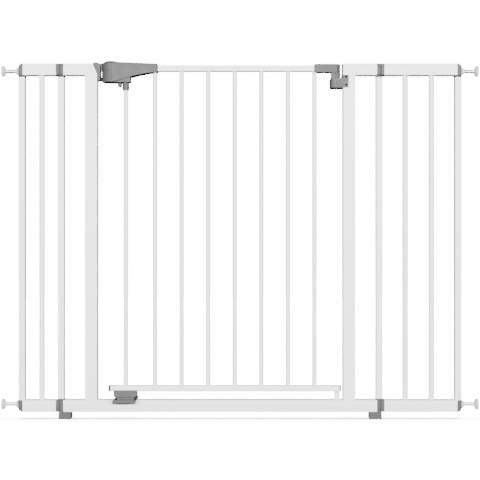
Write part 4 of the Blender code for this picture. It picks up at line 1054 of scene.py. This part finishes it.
@dataclass
class Handle:
    """The lift-up handle: a hollow lever with a round barrel end, its nose, and both buttons."""

    length: float = 0.1211
    barrel_length: float = 0.022
    barrel_half: float = 0.018
    tail_half: float = 0.012
    tail_round: float = 0.003
    wall: float = 0.0024
    top_round: float = 0.0022
    lip_round: float = 0.0007
    crown: float = 0.0006
    peak: float = 0.0029
    peak_share: float = 0.3
    end_dip: float = 0.0010
    body_drop: float = 0.040
    tail_drop: float = 0.0186
    sweep_start: float = 0.0257
    sweep_power: float = 1.56
    chin_run: float = 0.0015
    chin_rise: float = 0.009
    groove_depth: float = 0.0005
    groove_width: float = 0.0005
    groove_foot: float = 0.002
    seam_height: float = 0.747
    seam_depth: float = 0.0003
    seam_width: float = 0.00035
    web_ceiling: float = 0.742
    rail_ceiling: float = 0.7604
    well_radius: float = 0.0119
    hole_radius: float = 0.0109
    well_floor: float = 0.746
    nose_foot: float = 0.7555
    collar_height: float = 0.0056
    collar_radius: float = 0.0157
    collar_power: float = 1.7
    collar_root: float = 0.0012
    close_rows: float = 0.006
    web_reach: float = 0.0095
    cut_above: float = 0.02
    nose_half: float = 0.005
    nose_above: float = 0.0012
    nose_round: float = 0.0009
    nose_edge: float = 0.0005
    nose_rib_half: float = 0.004
    nose_rib_drop: float = 0.0095
    nose_rib_out: float = 0.0016
    nose_rib_round: float = 0.0006
    lug_half: tuple[float, float, float] = (0.0018, 0.0012, 0.0004)
    lug_offset: float = 0.0009
    lug_drop: float = 0.0291
    lug_length: float = 0.0024
    lug_root: float = 0.001
    button_radius: float = 0.0104
    button_flange: float = 0.0114
    button_rim: float = 0.0019
    button_boss: float = 0.0062
    flange_thick: float = 0.0026
    dome_power: float = 2.4
    ring_place: float = 0.62
    ring_width: float = 0.05
    ring_depth: float = 0.00025
    finger_radius: float = 0.0048
    finger_flange: float = 0.0016

    def __post_init__(self) -> None:
        """Reads the lever's place from the frame."""
        _, high, _ = box_of("handle_lever")
        self.right = high.x
        self.left = self.right - self.length
        self.barrel = self.left + self.barrel_length
        _, rail_high, _ = box_of("right_top_rail")
        self.top = rail_high.z

    def build(self) -> None:
        """Makes the lever, its nose and lugs, and the two buttons."""
        self.lever()
        self.nose_and_lugs()
        self.lock_button()
        self.finger_button()

    def upper(self, x: np.ndarray) -> np.ndarray:
        """Height of the upper edge: two curves that meet in the peak at a third of the length."""
        share = (x - self.left) / self.length
        rise = self.top + self.peak - self.end_dip * (1 - share / self.peak_share) ** 2
        fall = self.top + self.peak * (1 - (share - self.peak_share) / (1 - self.peak_share))
        return np.where(share < self.peak_share, rise, fall)

    def lower(self, x: np.ndarray) -> np.ndarray:
        """Height of the lower edge: a sloping chin, a flat barrel, a power curve up to the tail."""
        bottom, tail = self.top - self.body_drop, self.top - self.tail_drop
        run = x - self.left
        chin = bottom + self.chin_rise * (1 - run / self.chin_run)
        share = np.clip((self.right - x) / (self.length - self.sweep_start), 0, 1)
        sweep = tail - (tail - bottom) * share**self.sweep_power
        return np.where(run < self.chin_run, chin, np.where(run < self.sweep_start, bottom, sweep))

    def plan(self) -> np.ndarray:
        """The lever's outline from above, once round from the middle of the tail.

        Half of it is the tail's flat end, a round corner, a straight taper to the barrel and a
        quarter of an ellipse to the tip, and the other half is its mirror image in y.

        Returns:
            Points by 2.
        """
        soft = self.tail_round
        tail = np.stack([np.full(4, self.right), np.linspace(0, self.tail_half - soft, 4)], axis=1)
        corner = arc((self.right - soft, self.tail_half - soft), soft, 0, 88, 6)[1:]
        near = self.barrel + 3 * self.groove_width
        x = np.concatenate([
            np.linspace(self.right - soft, self.barrel + self.close_rows, 44)[1:],
            np.linspace(self.barrel + self.close_rows, near, 6)[1:-1],
            np.linspace(near, self.barrel, 12),
        ])
        share = (x - self.barrel) / (self.right - self.barrel)
        side = np.stack([x, self.barrel_half + (self.tail_half - self.barrel_half) * share], axis=1)
        close = 3 * self.groove_width / self.barrel_length
        angle = np.pi / 2 + np.concatenate([
            np.linspace(0, close, 12)[1:], np.linspace(close, np.pi / 2, 40)[1:]
        ])
        round_end = np.stack([np.cos(angle), np.sin(angle)], axis=1)
        tip = round_end * [self.barrel_length, self.barrel_half] + [self.barrel, 0]
        half = np.concatenate([tail, corner, side, tip])
        return np.concatenate([half, half[1:-1][::-1] * [1, -1]])

    def inward(self, plan: np.ndarray, inset: np.ndarray) -> np.ndarray:
        """The plan moved in from its edge towards the lever's spine.

        With s the nearest point of the spine and L the distance to it, a point p moves to
        s + (p - s) * (1 - inset / L), and stops at the spine.

        Args:
            plan: Points by 2.
            inset: How far in, rows by points.

        Returns:
            Rows by points by 2.
        """
        along = np.clip(plan[:, 0], self.barrel, self.right - self.tail_half)
        spine = np.stack([along, np.zeros(len(plan))], axis=1)
        reach = np.linalg.norm(plan - spine, axis=1)
        keep = np.clip(1 - inset / reach, 0, 1)
        return spine + (plan - spine) * keep[..., None]

    def lever(self) -> None:
        """The hollow lever as one closed sheet.

        Going along each row: from the spine of the ceiling out to the inner wall, down it, round
        the lip, up the outer wall, round the upper edge and in to the spine again. On the outer
        wall a groove of Gaussian section runs down at the barrel's end, and a fine seam goes round
        the barrel half way up.
        """
        plan = self.plan()
        count = len(plan)
        wall, lip, soft = self.wall, self.lip_round, self.top_round
        inner = [(1.0, 1.0), (0.25, 1.0), (0.0, 1.0), (0.0, 0.5), (0.0, 0.0)]
        rows_inset, rows_height = [], []
        low = self.lower(plan[:, 0])
        high = self.upper(plan[:, 0])
        ceiling = self.web_ceiling + (self.rail_ceiling - self.web_ceiling) * np.clip(
            (plan[:, 0] - self.barrel - self.web_reach) / FADE, 0, 1
        )
        spine = self.inward(plan, np.ones((1, count)))[0]
        reach = np.linalg.norm(plan - spine, axis=1)
        for share, up in inner:
            rows_inset.append(wall + (reach - wall) * share)
            rows_height.append(low + lip + (ceiling - low - lip) * up)
        for angle in np.radians([-60, -30]):
            rows_inset.append(np.full(count, wall - lip + lip * math.cos(angle)))
            rows_height.append(low + lip + lip * math.sin(angle))
        for angle in np.radians([-90, -120, -150]):
            rows_inset.append(np.full(count, lip + lip * math.cos(angle)))
            rows_height.append(low + lip + lip * math.sin(angle))
        seam = self.seam_height
        start, end = low + lip, high - soft
        fixed = seam + np.array([-2.5, -1.2, -0.6, 0, 0.6, 1.2, 2.5]) * self.seam_width
        for share in np.linspace(0.0, 0.45, 4):
            rows_inset.append(np.zeros(count))
            rows_height.append(start + (np.minimum(end, fixed[0]) - start) * share)
        for height in fixed:
            rows_inset.append(np.zeros(count))
            rows_height.append(np.clip(height, start, end))
        for share in (0.5, 1.0):
            rows_inset.append(np.zeros(count))
            rows_height.append(np.maximum(start, fixed[-1]) * (1 - share) + end * share)
        for angle in np.radians([15, 30, 45, 60, 75, 90]):
            rows_inset.append(np.full(count, soft - soft * math.cos(angle)))
            rows_height.append(high - soft + soft * math.sin(angle))
        for share in (0.25, 0.5, 0.75, 1.0):
            rows_inset.append(soft + (reach - soft) * share)
            rows_height.append(high + self.crown * (1 - (1 - share) ** 2))
        inset, height = np.array(rows_inset), np.array(rows_height)
        outside = np.zeros(len(inset), bool)
        outside[10:-4] = True
        off_groove = (plan[:, 0] - self.barrel) / self.groove_width
        groove = self.groove_depth * np.exp(-(off_groove**2))
        fade = np.clip((height - low - self.groove_foot) / FADE, 0, 1)
        on_side = np.abs(plan[:, 1]) > self.tail_half
        inset = inset + outside[:, None] * fade * groove * on_side
        round_barrel = np.clip((self.barrel - plan[:, 0]) / FADE, 0, 1)
        line = self.seam_depth * np.exp(-(((height - seam) / self.seam_width) ** 2))
        inset = inset + outside[:, None] * line * round_barrel
        flat = self.inward(plan, inset)
        grid = np.concatenate([flat, height[..., None]], axis=2)
        made = Surface().grid(grid, caps=False).build("lift_up_handle")
        _, _, button = box_of("lock_button")
        self.button_collar(button)
        high_cut = self.top + self.cut_above
        profile = np.array([
            (0.0, self.well_floor), (self.well_radius, self.well_floor),
            (self.well_radius, self.rail_ceiling), (self.hole_radius, self.rail_ceiling),
            (self.hole_radius, high_cut), (0.0, high_cut),
        ])
        centre = Vector((button.x, button.y, 0))
        cutter = Surface().grid(turned(Axis.Z, centre, profile), caps=False)
        carve(made, cutter.build("button_well"))
        settle(made, GREY_MOULDING, "handle_lever", "handle_lever")

    def button_collar(self, button: Vector) -> None:
        """The raised collar round the thumb button.

        Its height falls from the inner edge as h * (1 - share ** power), with share the way out
        from the hole to the collar's foot.

        Args:
            button: Middle of the thumb button.
        """
        inner, outer = self.hole_radius - 0.0002, self.collar_radius
        foot = self.top + self.peak - self.collar_root
        share = np.linspace(0.06, 1, 12)
        rise = foot + (self.top + self.collar_height - foot) * (1 - share**self.collar_power)
        slope = np.stack([inner + (outer - inner) * share, rise], axis=1)
        profile = np.concatenate([
            [(inner, foot - 0.001), (inner, rise[0] - 0.0003), (inner + 0.0001, rise[0] - 0.0001)],
            slope, [(outer, foot - 0.001)],
        ])
        grid = turned(Axis.Z, Vector((button.x, button.y, 0)), profile, steps=72)
        piece("thumb_button_collar", grid, GREY_MOULDING, "handle_lever", ring=True)

    def nose_and_lugs(self) -> None:
        """The nose that enters the strike, and the two lugs that lift the lock rod's cross pin."""
        low, _, _ = box_of("handle_lever")
        top, end = self.top + self.nose_above, self.left + self.wall
        centre = Vector((0, 0, (top + self.nose_foot) / 2))
        section = rounded_loop(self.nose_half, (top - self.nose_foot) / 2, self.nose_round)
        grid = straight(Axis.X, section, centre, np.array([low.x, end]))
        soften(piece("handle_nose", grid, GREY_MOULDING, "handle_lever"), self.nose_edge)
        root = self.nose_foot - self.nose_rib_drop
        centre = Vector((0, 0, (top + root) / 2))
        section = rounded_loop(self.nose_rib_half, (top - root) / 2, self.nose_rib_round)
        grid = straight(Axis.X, section, centre, np.array([self.left - self.nose_rib_out, end]))
        piece("nose_rib", grid, GREY_MOULDING, "handle_lever")
        _, _, rod = box_of("lock_rod")
        share = (rod.x - self.barrel) / (self.right - self.barrel)
        wall = self.barrel_half + (self.tail_half - self.barrel_half) * share
        surface = Surface()
        for side in (-1, 1):
            section = rounded_loop(*self.lug_half, 3)
            middle = Vector((rod.x + self.lug_offset, 0, self.top - self.lug_drop))
            ends = side * np.array([wall - self.wall - self.lug_length, wall - self.lug_root])
            surface.grid(straight(Axis.Y, section[:, ::-1], middle, ends))
        settle(surface.build("rod_lifting_lugs"), GREY_MOULDING, "handle_lever")

    def lock_button(self) -> None:
        """The thumb button: a turned cap with a soft rim, a shallow finger ring and a flange."""
        low, high, middle = box_of("lock_button")
        radius, flange, soft = self.button_radius, self.button_flange, self.button_rim
        flange_top = self.rail_ceiling - JOINT_GAP
        flange_low = flange_top - self.flange_thick
        boss, crest = self.button_boss, self.top + self.collar_height - OVERLAP
        share = np.linspace(1, 0, 14)
        dome = high.z - (high.z - crest) * share**self.dome_power
        groove = self.ring_depth * np.exp(-(((share - self.ring_place) / self.ring_width) ** 2))
        profile = np.concatenate([
            [(0.0, low.z), (boss - 0.0004, low.z), (boss, low.z + 0.0004), (boss, flange_low)],
            [(flange - 0.0003, flange_low), (flange, flange_low + 0.0003), (flange, flange_top)],
            [(radius, flange_top), (radius, crest - soft), (radius, crest - 0.0006)],
            [(radius - 0.0002, crest)],
            np.stack([(radius - 0.0006) * share, dome - groove], axis=1),
        ])
        grid = turned(Axis.Z, Vector((middle.x, middle.y, 0)), profile, steps=72)
        piece("thumb_button", grid, GREY_MOULDING, "lock_button", "lock_button", caps=False)

    def finger_button(self) -> None:
        """The button under the handle: a turned stem with a half-round tip and a flange."""
        low, high, middle = box_of("finger_button")
        radius, flange = self.finger_radius, (high.x - low.x) / 2
        tip = arc((0.0, low.z + radius), radius, -90, 0, 10)
        flange_low = high.z - self.finger_flange
        profile = np.concatenate([
            tip, [(radius, flange_low - 0.0034), (radius - 0.0002, flange_low - 0.0031),
                  (radius, flange_low - 0.0028), (radius, flange_low), (flange, flange_low),
                  (flange, high.z), (0.0, high.z)],
        ])
        grid = turned(Axis.Z, Vector((middle.x, middle.y, 0)), profile)
        piece("finger_trigger", grid, GREY_MOULDING, "finger_button", "finger_button", caps=False)


# --- Lock rod, springs and pins --------------------------------------------------------------


@dataclass
class RodAndPins:
    """The lock rod with its cross pin, and the pins and springs of the frame."""

    cross_pin: float = 0.002
    cross_drop: float = 0.0045
    rod_radius: float = 0.005
    rod_tip: float = 0.0018
    rod_top: float = 0.0005
    rod_row: float = 0.1
    chamfer: float = 0.15  # share of a pin's radius
    adjuster_edge: float = 0.0003

    def build(self) -> None:
        """Makes the rod and the pins, and dresses the springs."""
        low, high, middle = box_of("lock_rod")
        radius, tip, soft = self.rod_radius, self.rod_tip, self.rod_top
        profile = np.concatenate([
            [(0.0, low.z)], arc((radius - tip, low.z + tip), tip, -90, 0, 6),
            [(radius, low.z + self.rod_row), (radius, high.z - self.rod_row)],
            arc((radius - soft, high.z - soft), soft, 0, 90, 3), [(0.0, high.z)],
        ])
        grid = turned(Axis.Z, Vector((middle.x, middle.y, 0)), profile)
        piece("lock_rod_tube", grid, POWDER_COAT, "lock_rod", "lock_rod", caps=False)
        centre = Vector((middle.x, 0, high.z - self.cross_drop))
        self.pin("lock_rod_cross_pin", Axis.Y, centre, self.cross_pin, low.y, high.y, "lock_rod")
        for node, axis in (
            ("upper_hinge_pin", Axis.Z), ("lower_hinge_pin", Axis.Z), ("lever_pivot_pin", Axis.Y)
        ):
            low, high, middle = box_of(node)
            across, along = axis.value[0], axis.value[2]
            radius = (high[across] - low[across]) / 2
            self.pin(f"{node}_turned", axis, middle, radius, low[along], high[along], "door", node)
        for node in ("hinge_spring", "lock_button_spring", "finger_button_spring"):
            dress_node(node, SPRING_STEEL)
        name, width = "tension_adjuster_moulding", self.adjuster_edge
        adjuster = softened_copy("tension_adjuster", name, width, angle=40)
        settle(adjuster, DARK_MOULDING, "tension_adjuster", "tension_adjuster")

    def pin(
        self,
        name: str,
        axis: Axis,
        centre: Vector,
        radius: float,
        low: float,
        high: float,
        body: str,
        *nodes: str,
    ) -> None:
        """A steel pin with chamfered ends, where the radius falls as the end comes nearer.

        Args:
            name: Object name.
            axis: Direction of the pin.
            centre: A point on its axis.
            radius: Its radius.
            low: Where it starts along the axis.
            high: Where it ends.
            body: Body that it rides on.
            *nodes: Nodes that it replaces.
        """
        soft = radius * self.chamfer
        profile = np.array([
            (0.0, low), (radius - soft, low), (radius, low + soft),
            (radius, high - soft), (radius - soft, high), (0.0, high),
        ])
        spot = Vector(centre)
        spot[axis.value[2]] = 0
        piece(name, turned(axis, spot, profile, steps=32), ZINC_PLATE, body, *nodes, caps=False)


def dress_node(node: str, finish: Finish) -> None:
    """Gives a frame node that stays a finish, in its own material slots."""
    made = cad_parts[node]
    if not made.material_slots:
        made.data.materials.append(finish.material())
    for held in made.material_slots:
        held.material = finish.material()
    LOG.info("%s stays, in %s", node, finish.name)


# --- Wall spindles ---------------------------------------------------------------------------


@dataclass
class WallSpindle:
    """A threaded spindle with its pad, and the knurled nut that drives it."""

    level: str
    side: str
    outward: int
    thread_depth: float = 0.0002
    pitch: float = 0.00125
    rod_radius: float = 0.004
    pad_radius: float = 0.01175
    pad_thick: float = 0.0060
    pad_back: float = 0.0025
    nut_radius: float = 0.0088
    nut_waves: int = 20
    nut_wave: float = 0.0003
    pad_round: float = 0.0021
    rubber_share: float = 0.62
    cup_wall: float = 0.0016
    nut_hub: float = 0.0062
    nut_edge: float = 0.0006
    nut_gap: float = 0.00005

    def build(self) -> None:
        """Makes the spindle, the pad and the nut."""
        self.node = f"{self.level}_{self.side}"
        low, high, middle = box_of(f"{self.node}_spindle")
        self.centre = Vector((0, middle.y, middle.z))
        self.face = high.x if self.outward > 0 else low.x
        self.inner_end = low.x if self.outward > 0 else high.x
        self.rod()
        self.pad()
        self.nut()

    def rod(self) -> None:
        """The threaded rod.

        With p = frac(x / pitch - a / 2 pi) at distance x and angle a, the radius is
        R - d * |2 * p - 1| ** 1.3, which gives rounded crests, and the last turn fades out.
        """
        start = self.inner_end
        end = self.face - self.outward * (self.pad_thick + self.pad_back / 2)
        count = int(abs(end - start) / self.pitch * 6) + 1
        x = np.linspace(start, end, count)[:, None]
        angle = np.linspace(0, 2 * np.pi, 32, endpoint=False)
        phase = np.mod(x / self.pitch - angle / (2 * np.pi), 1.0)
        groove = np.abs(2 * phase - 1) ** 1.3
        fade = np.clip(np.abs(x - end) / self.pitch, 0, 1)
        radius = self.rod_radius - self.thread_depth * groove * fade
        u, v = radius * np.cos(angle), radius * np.sin(angle)
        grid = ordered(Axis.X, u, v, x) + np.array(self.centre)
        body = f"{self.node}_spindle"
        piece(f"{self.node}_threaded_rod", grid, ZINC_PLATE, body, body)

    def pad(self) -> None:
        """The wall pad: a rubber disc with a round rim in a tapering plastic cup."""
        radius, thick, soft = self.pad_radius, self.pad_thick, self.pad_round
        split = thick * self.rubber_share
        rim = arc((radius - soft, -soft), soft, 90, 0, 8)
        disc = np.concatenate([
            [(0.0, -0.0012), (0.0045, -0.0012), (0.0052, -0.0004), (0.0060, 0.0)], rim,
            [(radius, -split + 0.0004), (radius - 0.0004, -split), (0.0, -split)],
        ])
        origin = Vector((self.face, self.centre.y, self.centre.z))
        body = f"{self.node}_spindle"
        grid = turned(Axis.X, origin, disc, self.outward, 64)
        piece(f"{self.node}_pad_rubber", grid, PAD_RUBBER, body, caps=False)
        hub = self.rod_radius + self.cup_wall
        cup = np.array([
            (0.0, -split - OVERLAP), (radius - 0.0008, -split - OVERLAP),
            (radius - 0.0002, -split - 0.0004),
            (radius - 0.0001, -thick + 0.0004), (radius - 0.0008, -thick - 0.0001),
            (radius - 0.0028, -thick - 0.0009), (hub + 0.0012, -thick - 0.0015),
            (hub, -thick - self.pad_back), (self.rod_radius - 0.0002, -thick - self.pad_back),
            (0.0, -thick - self.pad_back),
        ])
        grid = turned(Axis.X, origin, cup, self.outward, 64)
        piece(f"{self.node}_pad_cup", grid, LIGHT_MOULDING, body, caps=False)

    def nut(self) -> None:
        """The hand nut: a knurled disc whose radius waves round it, and a plain hub."""
        node = f"{self.node}_hand_nut"
        low, high, _ = box_of(node)
        start = (low.x if self.outward > 0 else high.x) - self.outward * (JOINT_GAP - self.nut_gap)
        length = high.x - low.x
        flange, hub, bore = length / 2, self.nut_hub, self.rod_radius + 0.0004
        radius, soft = self.nut_radius, self.nut_edge
        profile = np.array([
            (bore, 0.0), (radius - soft, 0.0), (radius, soft), (radius, flange - soft),
            (radius - soft, flange), (hub + 0.0008, flange + 0.0004), (hub, flange + 0.0012),
            (hub, length - soft), (hub - soft, length), (bore + 0.0003, length),
            (bore, length - 0.0003),
        ])
        waves = self.nut_wave * np.array([0, 1, 1, 1, 1, 0, 0, 0, 0, 0, 0])
        origin = Vector((start, self.centre.y, self.centre.z))
        grid = turned(Axis.X, origin, profile, self.outward, 160, self.nut_waves, waves)
        piece(f"{node}_knurled", grid, LIGHT_MOULDING, node, node, ring=True)


# --- Studio ----------------------------------------------------------------------------------


@dataclass
class Studio:
    """A white floor and backdrop, soft lights and the camera."""

    camera_place: tuple[float, float, float] = (0.0, -2.4, 0.384)
    lens: float = 83.7
    floor_half: float = 30.0
    backdrop: float = 16.0
    sky_above: float = 0.22
    sky_below: float = 0.05
    sky_range: tuple[float, float] = (-0.2, 0.4)
    floor_drop: float = 0.0001
    floor_sun: float = 62.0
    floor_sun_angle: float = math.radians(60)
    shadowless: tuple[str, ...] = ("lower_catch_moulding", "catch_lip_front", "catch_lip_back")
    softboxes: tuple[tuple[str, tuple[float, float, float], float, float, float], ...] = (
        ("front_softbox", (0.2, -5.0, 1.15), 5.5, 0.6, 1085.0),
        ("back_softbox", (-0.4, 5.0, 1.15), 2.5, 0.6, 620.0),
    )

    def build(self) -> None:
        """Makes the world, the floor, the lights and the camera."""
        self.world()
        self.floor()
        for name, place, width, height, power in self.softboxes:
            self.softbox(name, place, width, height, power)
        self.camera()

    def world(self) -> None:
        """A backdrop that is white to look at, and a dimmer sky that lights the gate.

        The sky's strength rises from its lower to its upper value with the height of the
        direction, and rays straight from the camera see the backdrop's strength.
        """
        world = bpy.data.worlds.new("studio")
        bpy.context.scene.world = world
        world.use_nodes = True
        tree = world.node_tree
        background = tree.nodes["Background"]
        background.inputs["Color"].default_value = (1, 1, 1, 1)
        place = tree.nodes.new("ShaderNodeTexCoord")
        parts = tree.nodes.new("ShaderNodeSeparateXYZ")
        tree.links.new(place.outputs["Generated"], parts.inputs["Vector"])
        sky = tree.nodes.new("ShaderNodeMapRange")
        set_sockets(sky, {
            "From Min": self.sky_range[0], "From Max": self.sky_range[1],
            "To Min": self.sky_below, "To Max": self.sky_above,
        })
        tree.links.new(parts.outputs["Z"], sky.inputs["Value"])
        seen = tree.nodes.new("ShaderNodeLightPath")
        choose = tree.nodes.new("ShaderNodeMix")
        choose.inputs["B"].default_value = self.backdrop
        tree.links.new(seen.outputs["Is Camera Ray"], choose.inputs["Factor"])
        tree.links.new(sky.outputs["Result"], choose.inputs["A"])
        tree.links.new(choose.outputs["Result"], background.inputs["Strength"])

    def floor(self) -> None:
        """A white floor that its own soft sun lights.

        The catch casts no shadow there, so that only those of the feet and the rail show.
        """
        half = self.floor_half
        corners = np.array([(-half, -half, 0), (half, -half, 0), (half, half, 0), (-half, half, 0)])
        mesh = bpy.data.meshes.new("floor")
        mesh.from_pydata(corners - [0, 0, self.floor_drop], [], [[0, 1, 2, 3]])
        floor = bpy.data.objects.new("floor", mesh)
        bpy.context.scene.collection.objects.link(floor)
        paper = Finish(
            "white_studio_paper", Slot.WHITE, (0.88, 0.88, 0.88), 0.9,
            mottle=0.002, mottle_scale=3.0, grain=300.0, depth=1e-6, specular=0.0,
        )
        mesh.materials.append(paper.material())
        floor.visible_diffuse = False
        floor.visible_glossy = False
        light = bpy.data.lights.new("floor_sun", "SUN")
        light.energy = self.floor_sun
        light.angle = self.floor_sun_angle
        sun = bpy.data.objects.new("floor_sun", light)
        bpy.context.scene.collection.objects.link(sun)
        only_floor = bpy.data.collections.new("lit_by_floor_sun")
        only_floor.objects.link(floor)
        sun.light_linking.receiver_collection = only_floor
        casts_none = bpy.data.collections.new("casts_no_floor_shadow")
        for name in self.shadowless:
            casts_none.objects.link(bpy.data.objects[name])
        for held in casts_none.collection_objects:
            held.light_linking.link_state = "EXCLUDE"
        sun.light_linking.blocker_collection = casts_none

    def softbox(
        self,
        name: str,
        place: tuple[float, float, float],
        width: float,
        height: float,
        power: float,
    ) -> None:
        """A rectangular area light that looks at the middle of the gate.

        Args:
            name: Light name.
            place: Its middle.
            width: Its width.
            height: Its height.
            power: Its power in watts.
        """
        light = bpy.data.lights.new(name, "AREA")
        light.shape = "RECTANGLE"
        light.size = width
        light.size_y = height
        light.energy = power
        made = bpy.data.objects.new(name, light)
        made.location = place
        aim = Vector((0, 0, self.camera_place[2])) - Vector(place)
        made.rotation_euler = aim.to_track_quat("-Z", "Y").to_euler()
        made.visible_camera = False
        made.visible_glossy = name == "front_softbox"  # the paint mirrors only the front light
        bpy.context.scene.collection.objects.link(made)

    def camera(self) -> None:
        """A level camera in front of the gate."""
        data = bpy.data.cameras.new("camera")
        data.lens = self.lens
        made = bpy.data.objects.new("camera", data)
        made.location = self.camera_place
        made.rotation_euler = (math.radians(90), 0, 0)
        bpy.context.scene.collection.objects.link(made)
        bpy.context.scene.camera = made


def main() -> None:
    """Builds each sub-assembly in turn, then the studio round it."""
    logging.basicConfig(level=logging.INFO, format="%(name)s: %(message)s")
    Tubes().build()
    FrameMouldings().build()
    DoorMouldings().build()
    Handle().build()
    RodAndPins().build()
    for level in ("upper", "lower"):
        for side, outward in (("left", -1), ("right", 1)):
            WallSpindle(level, side, outward).build()
    Studio().build()


if __name__ == "__main__":
    main()
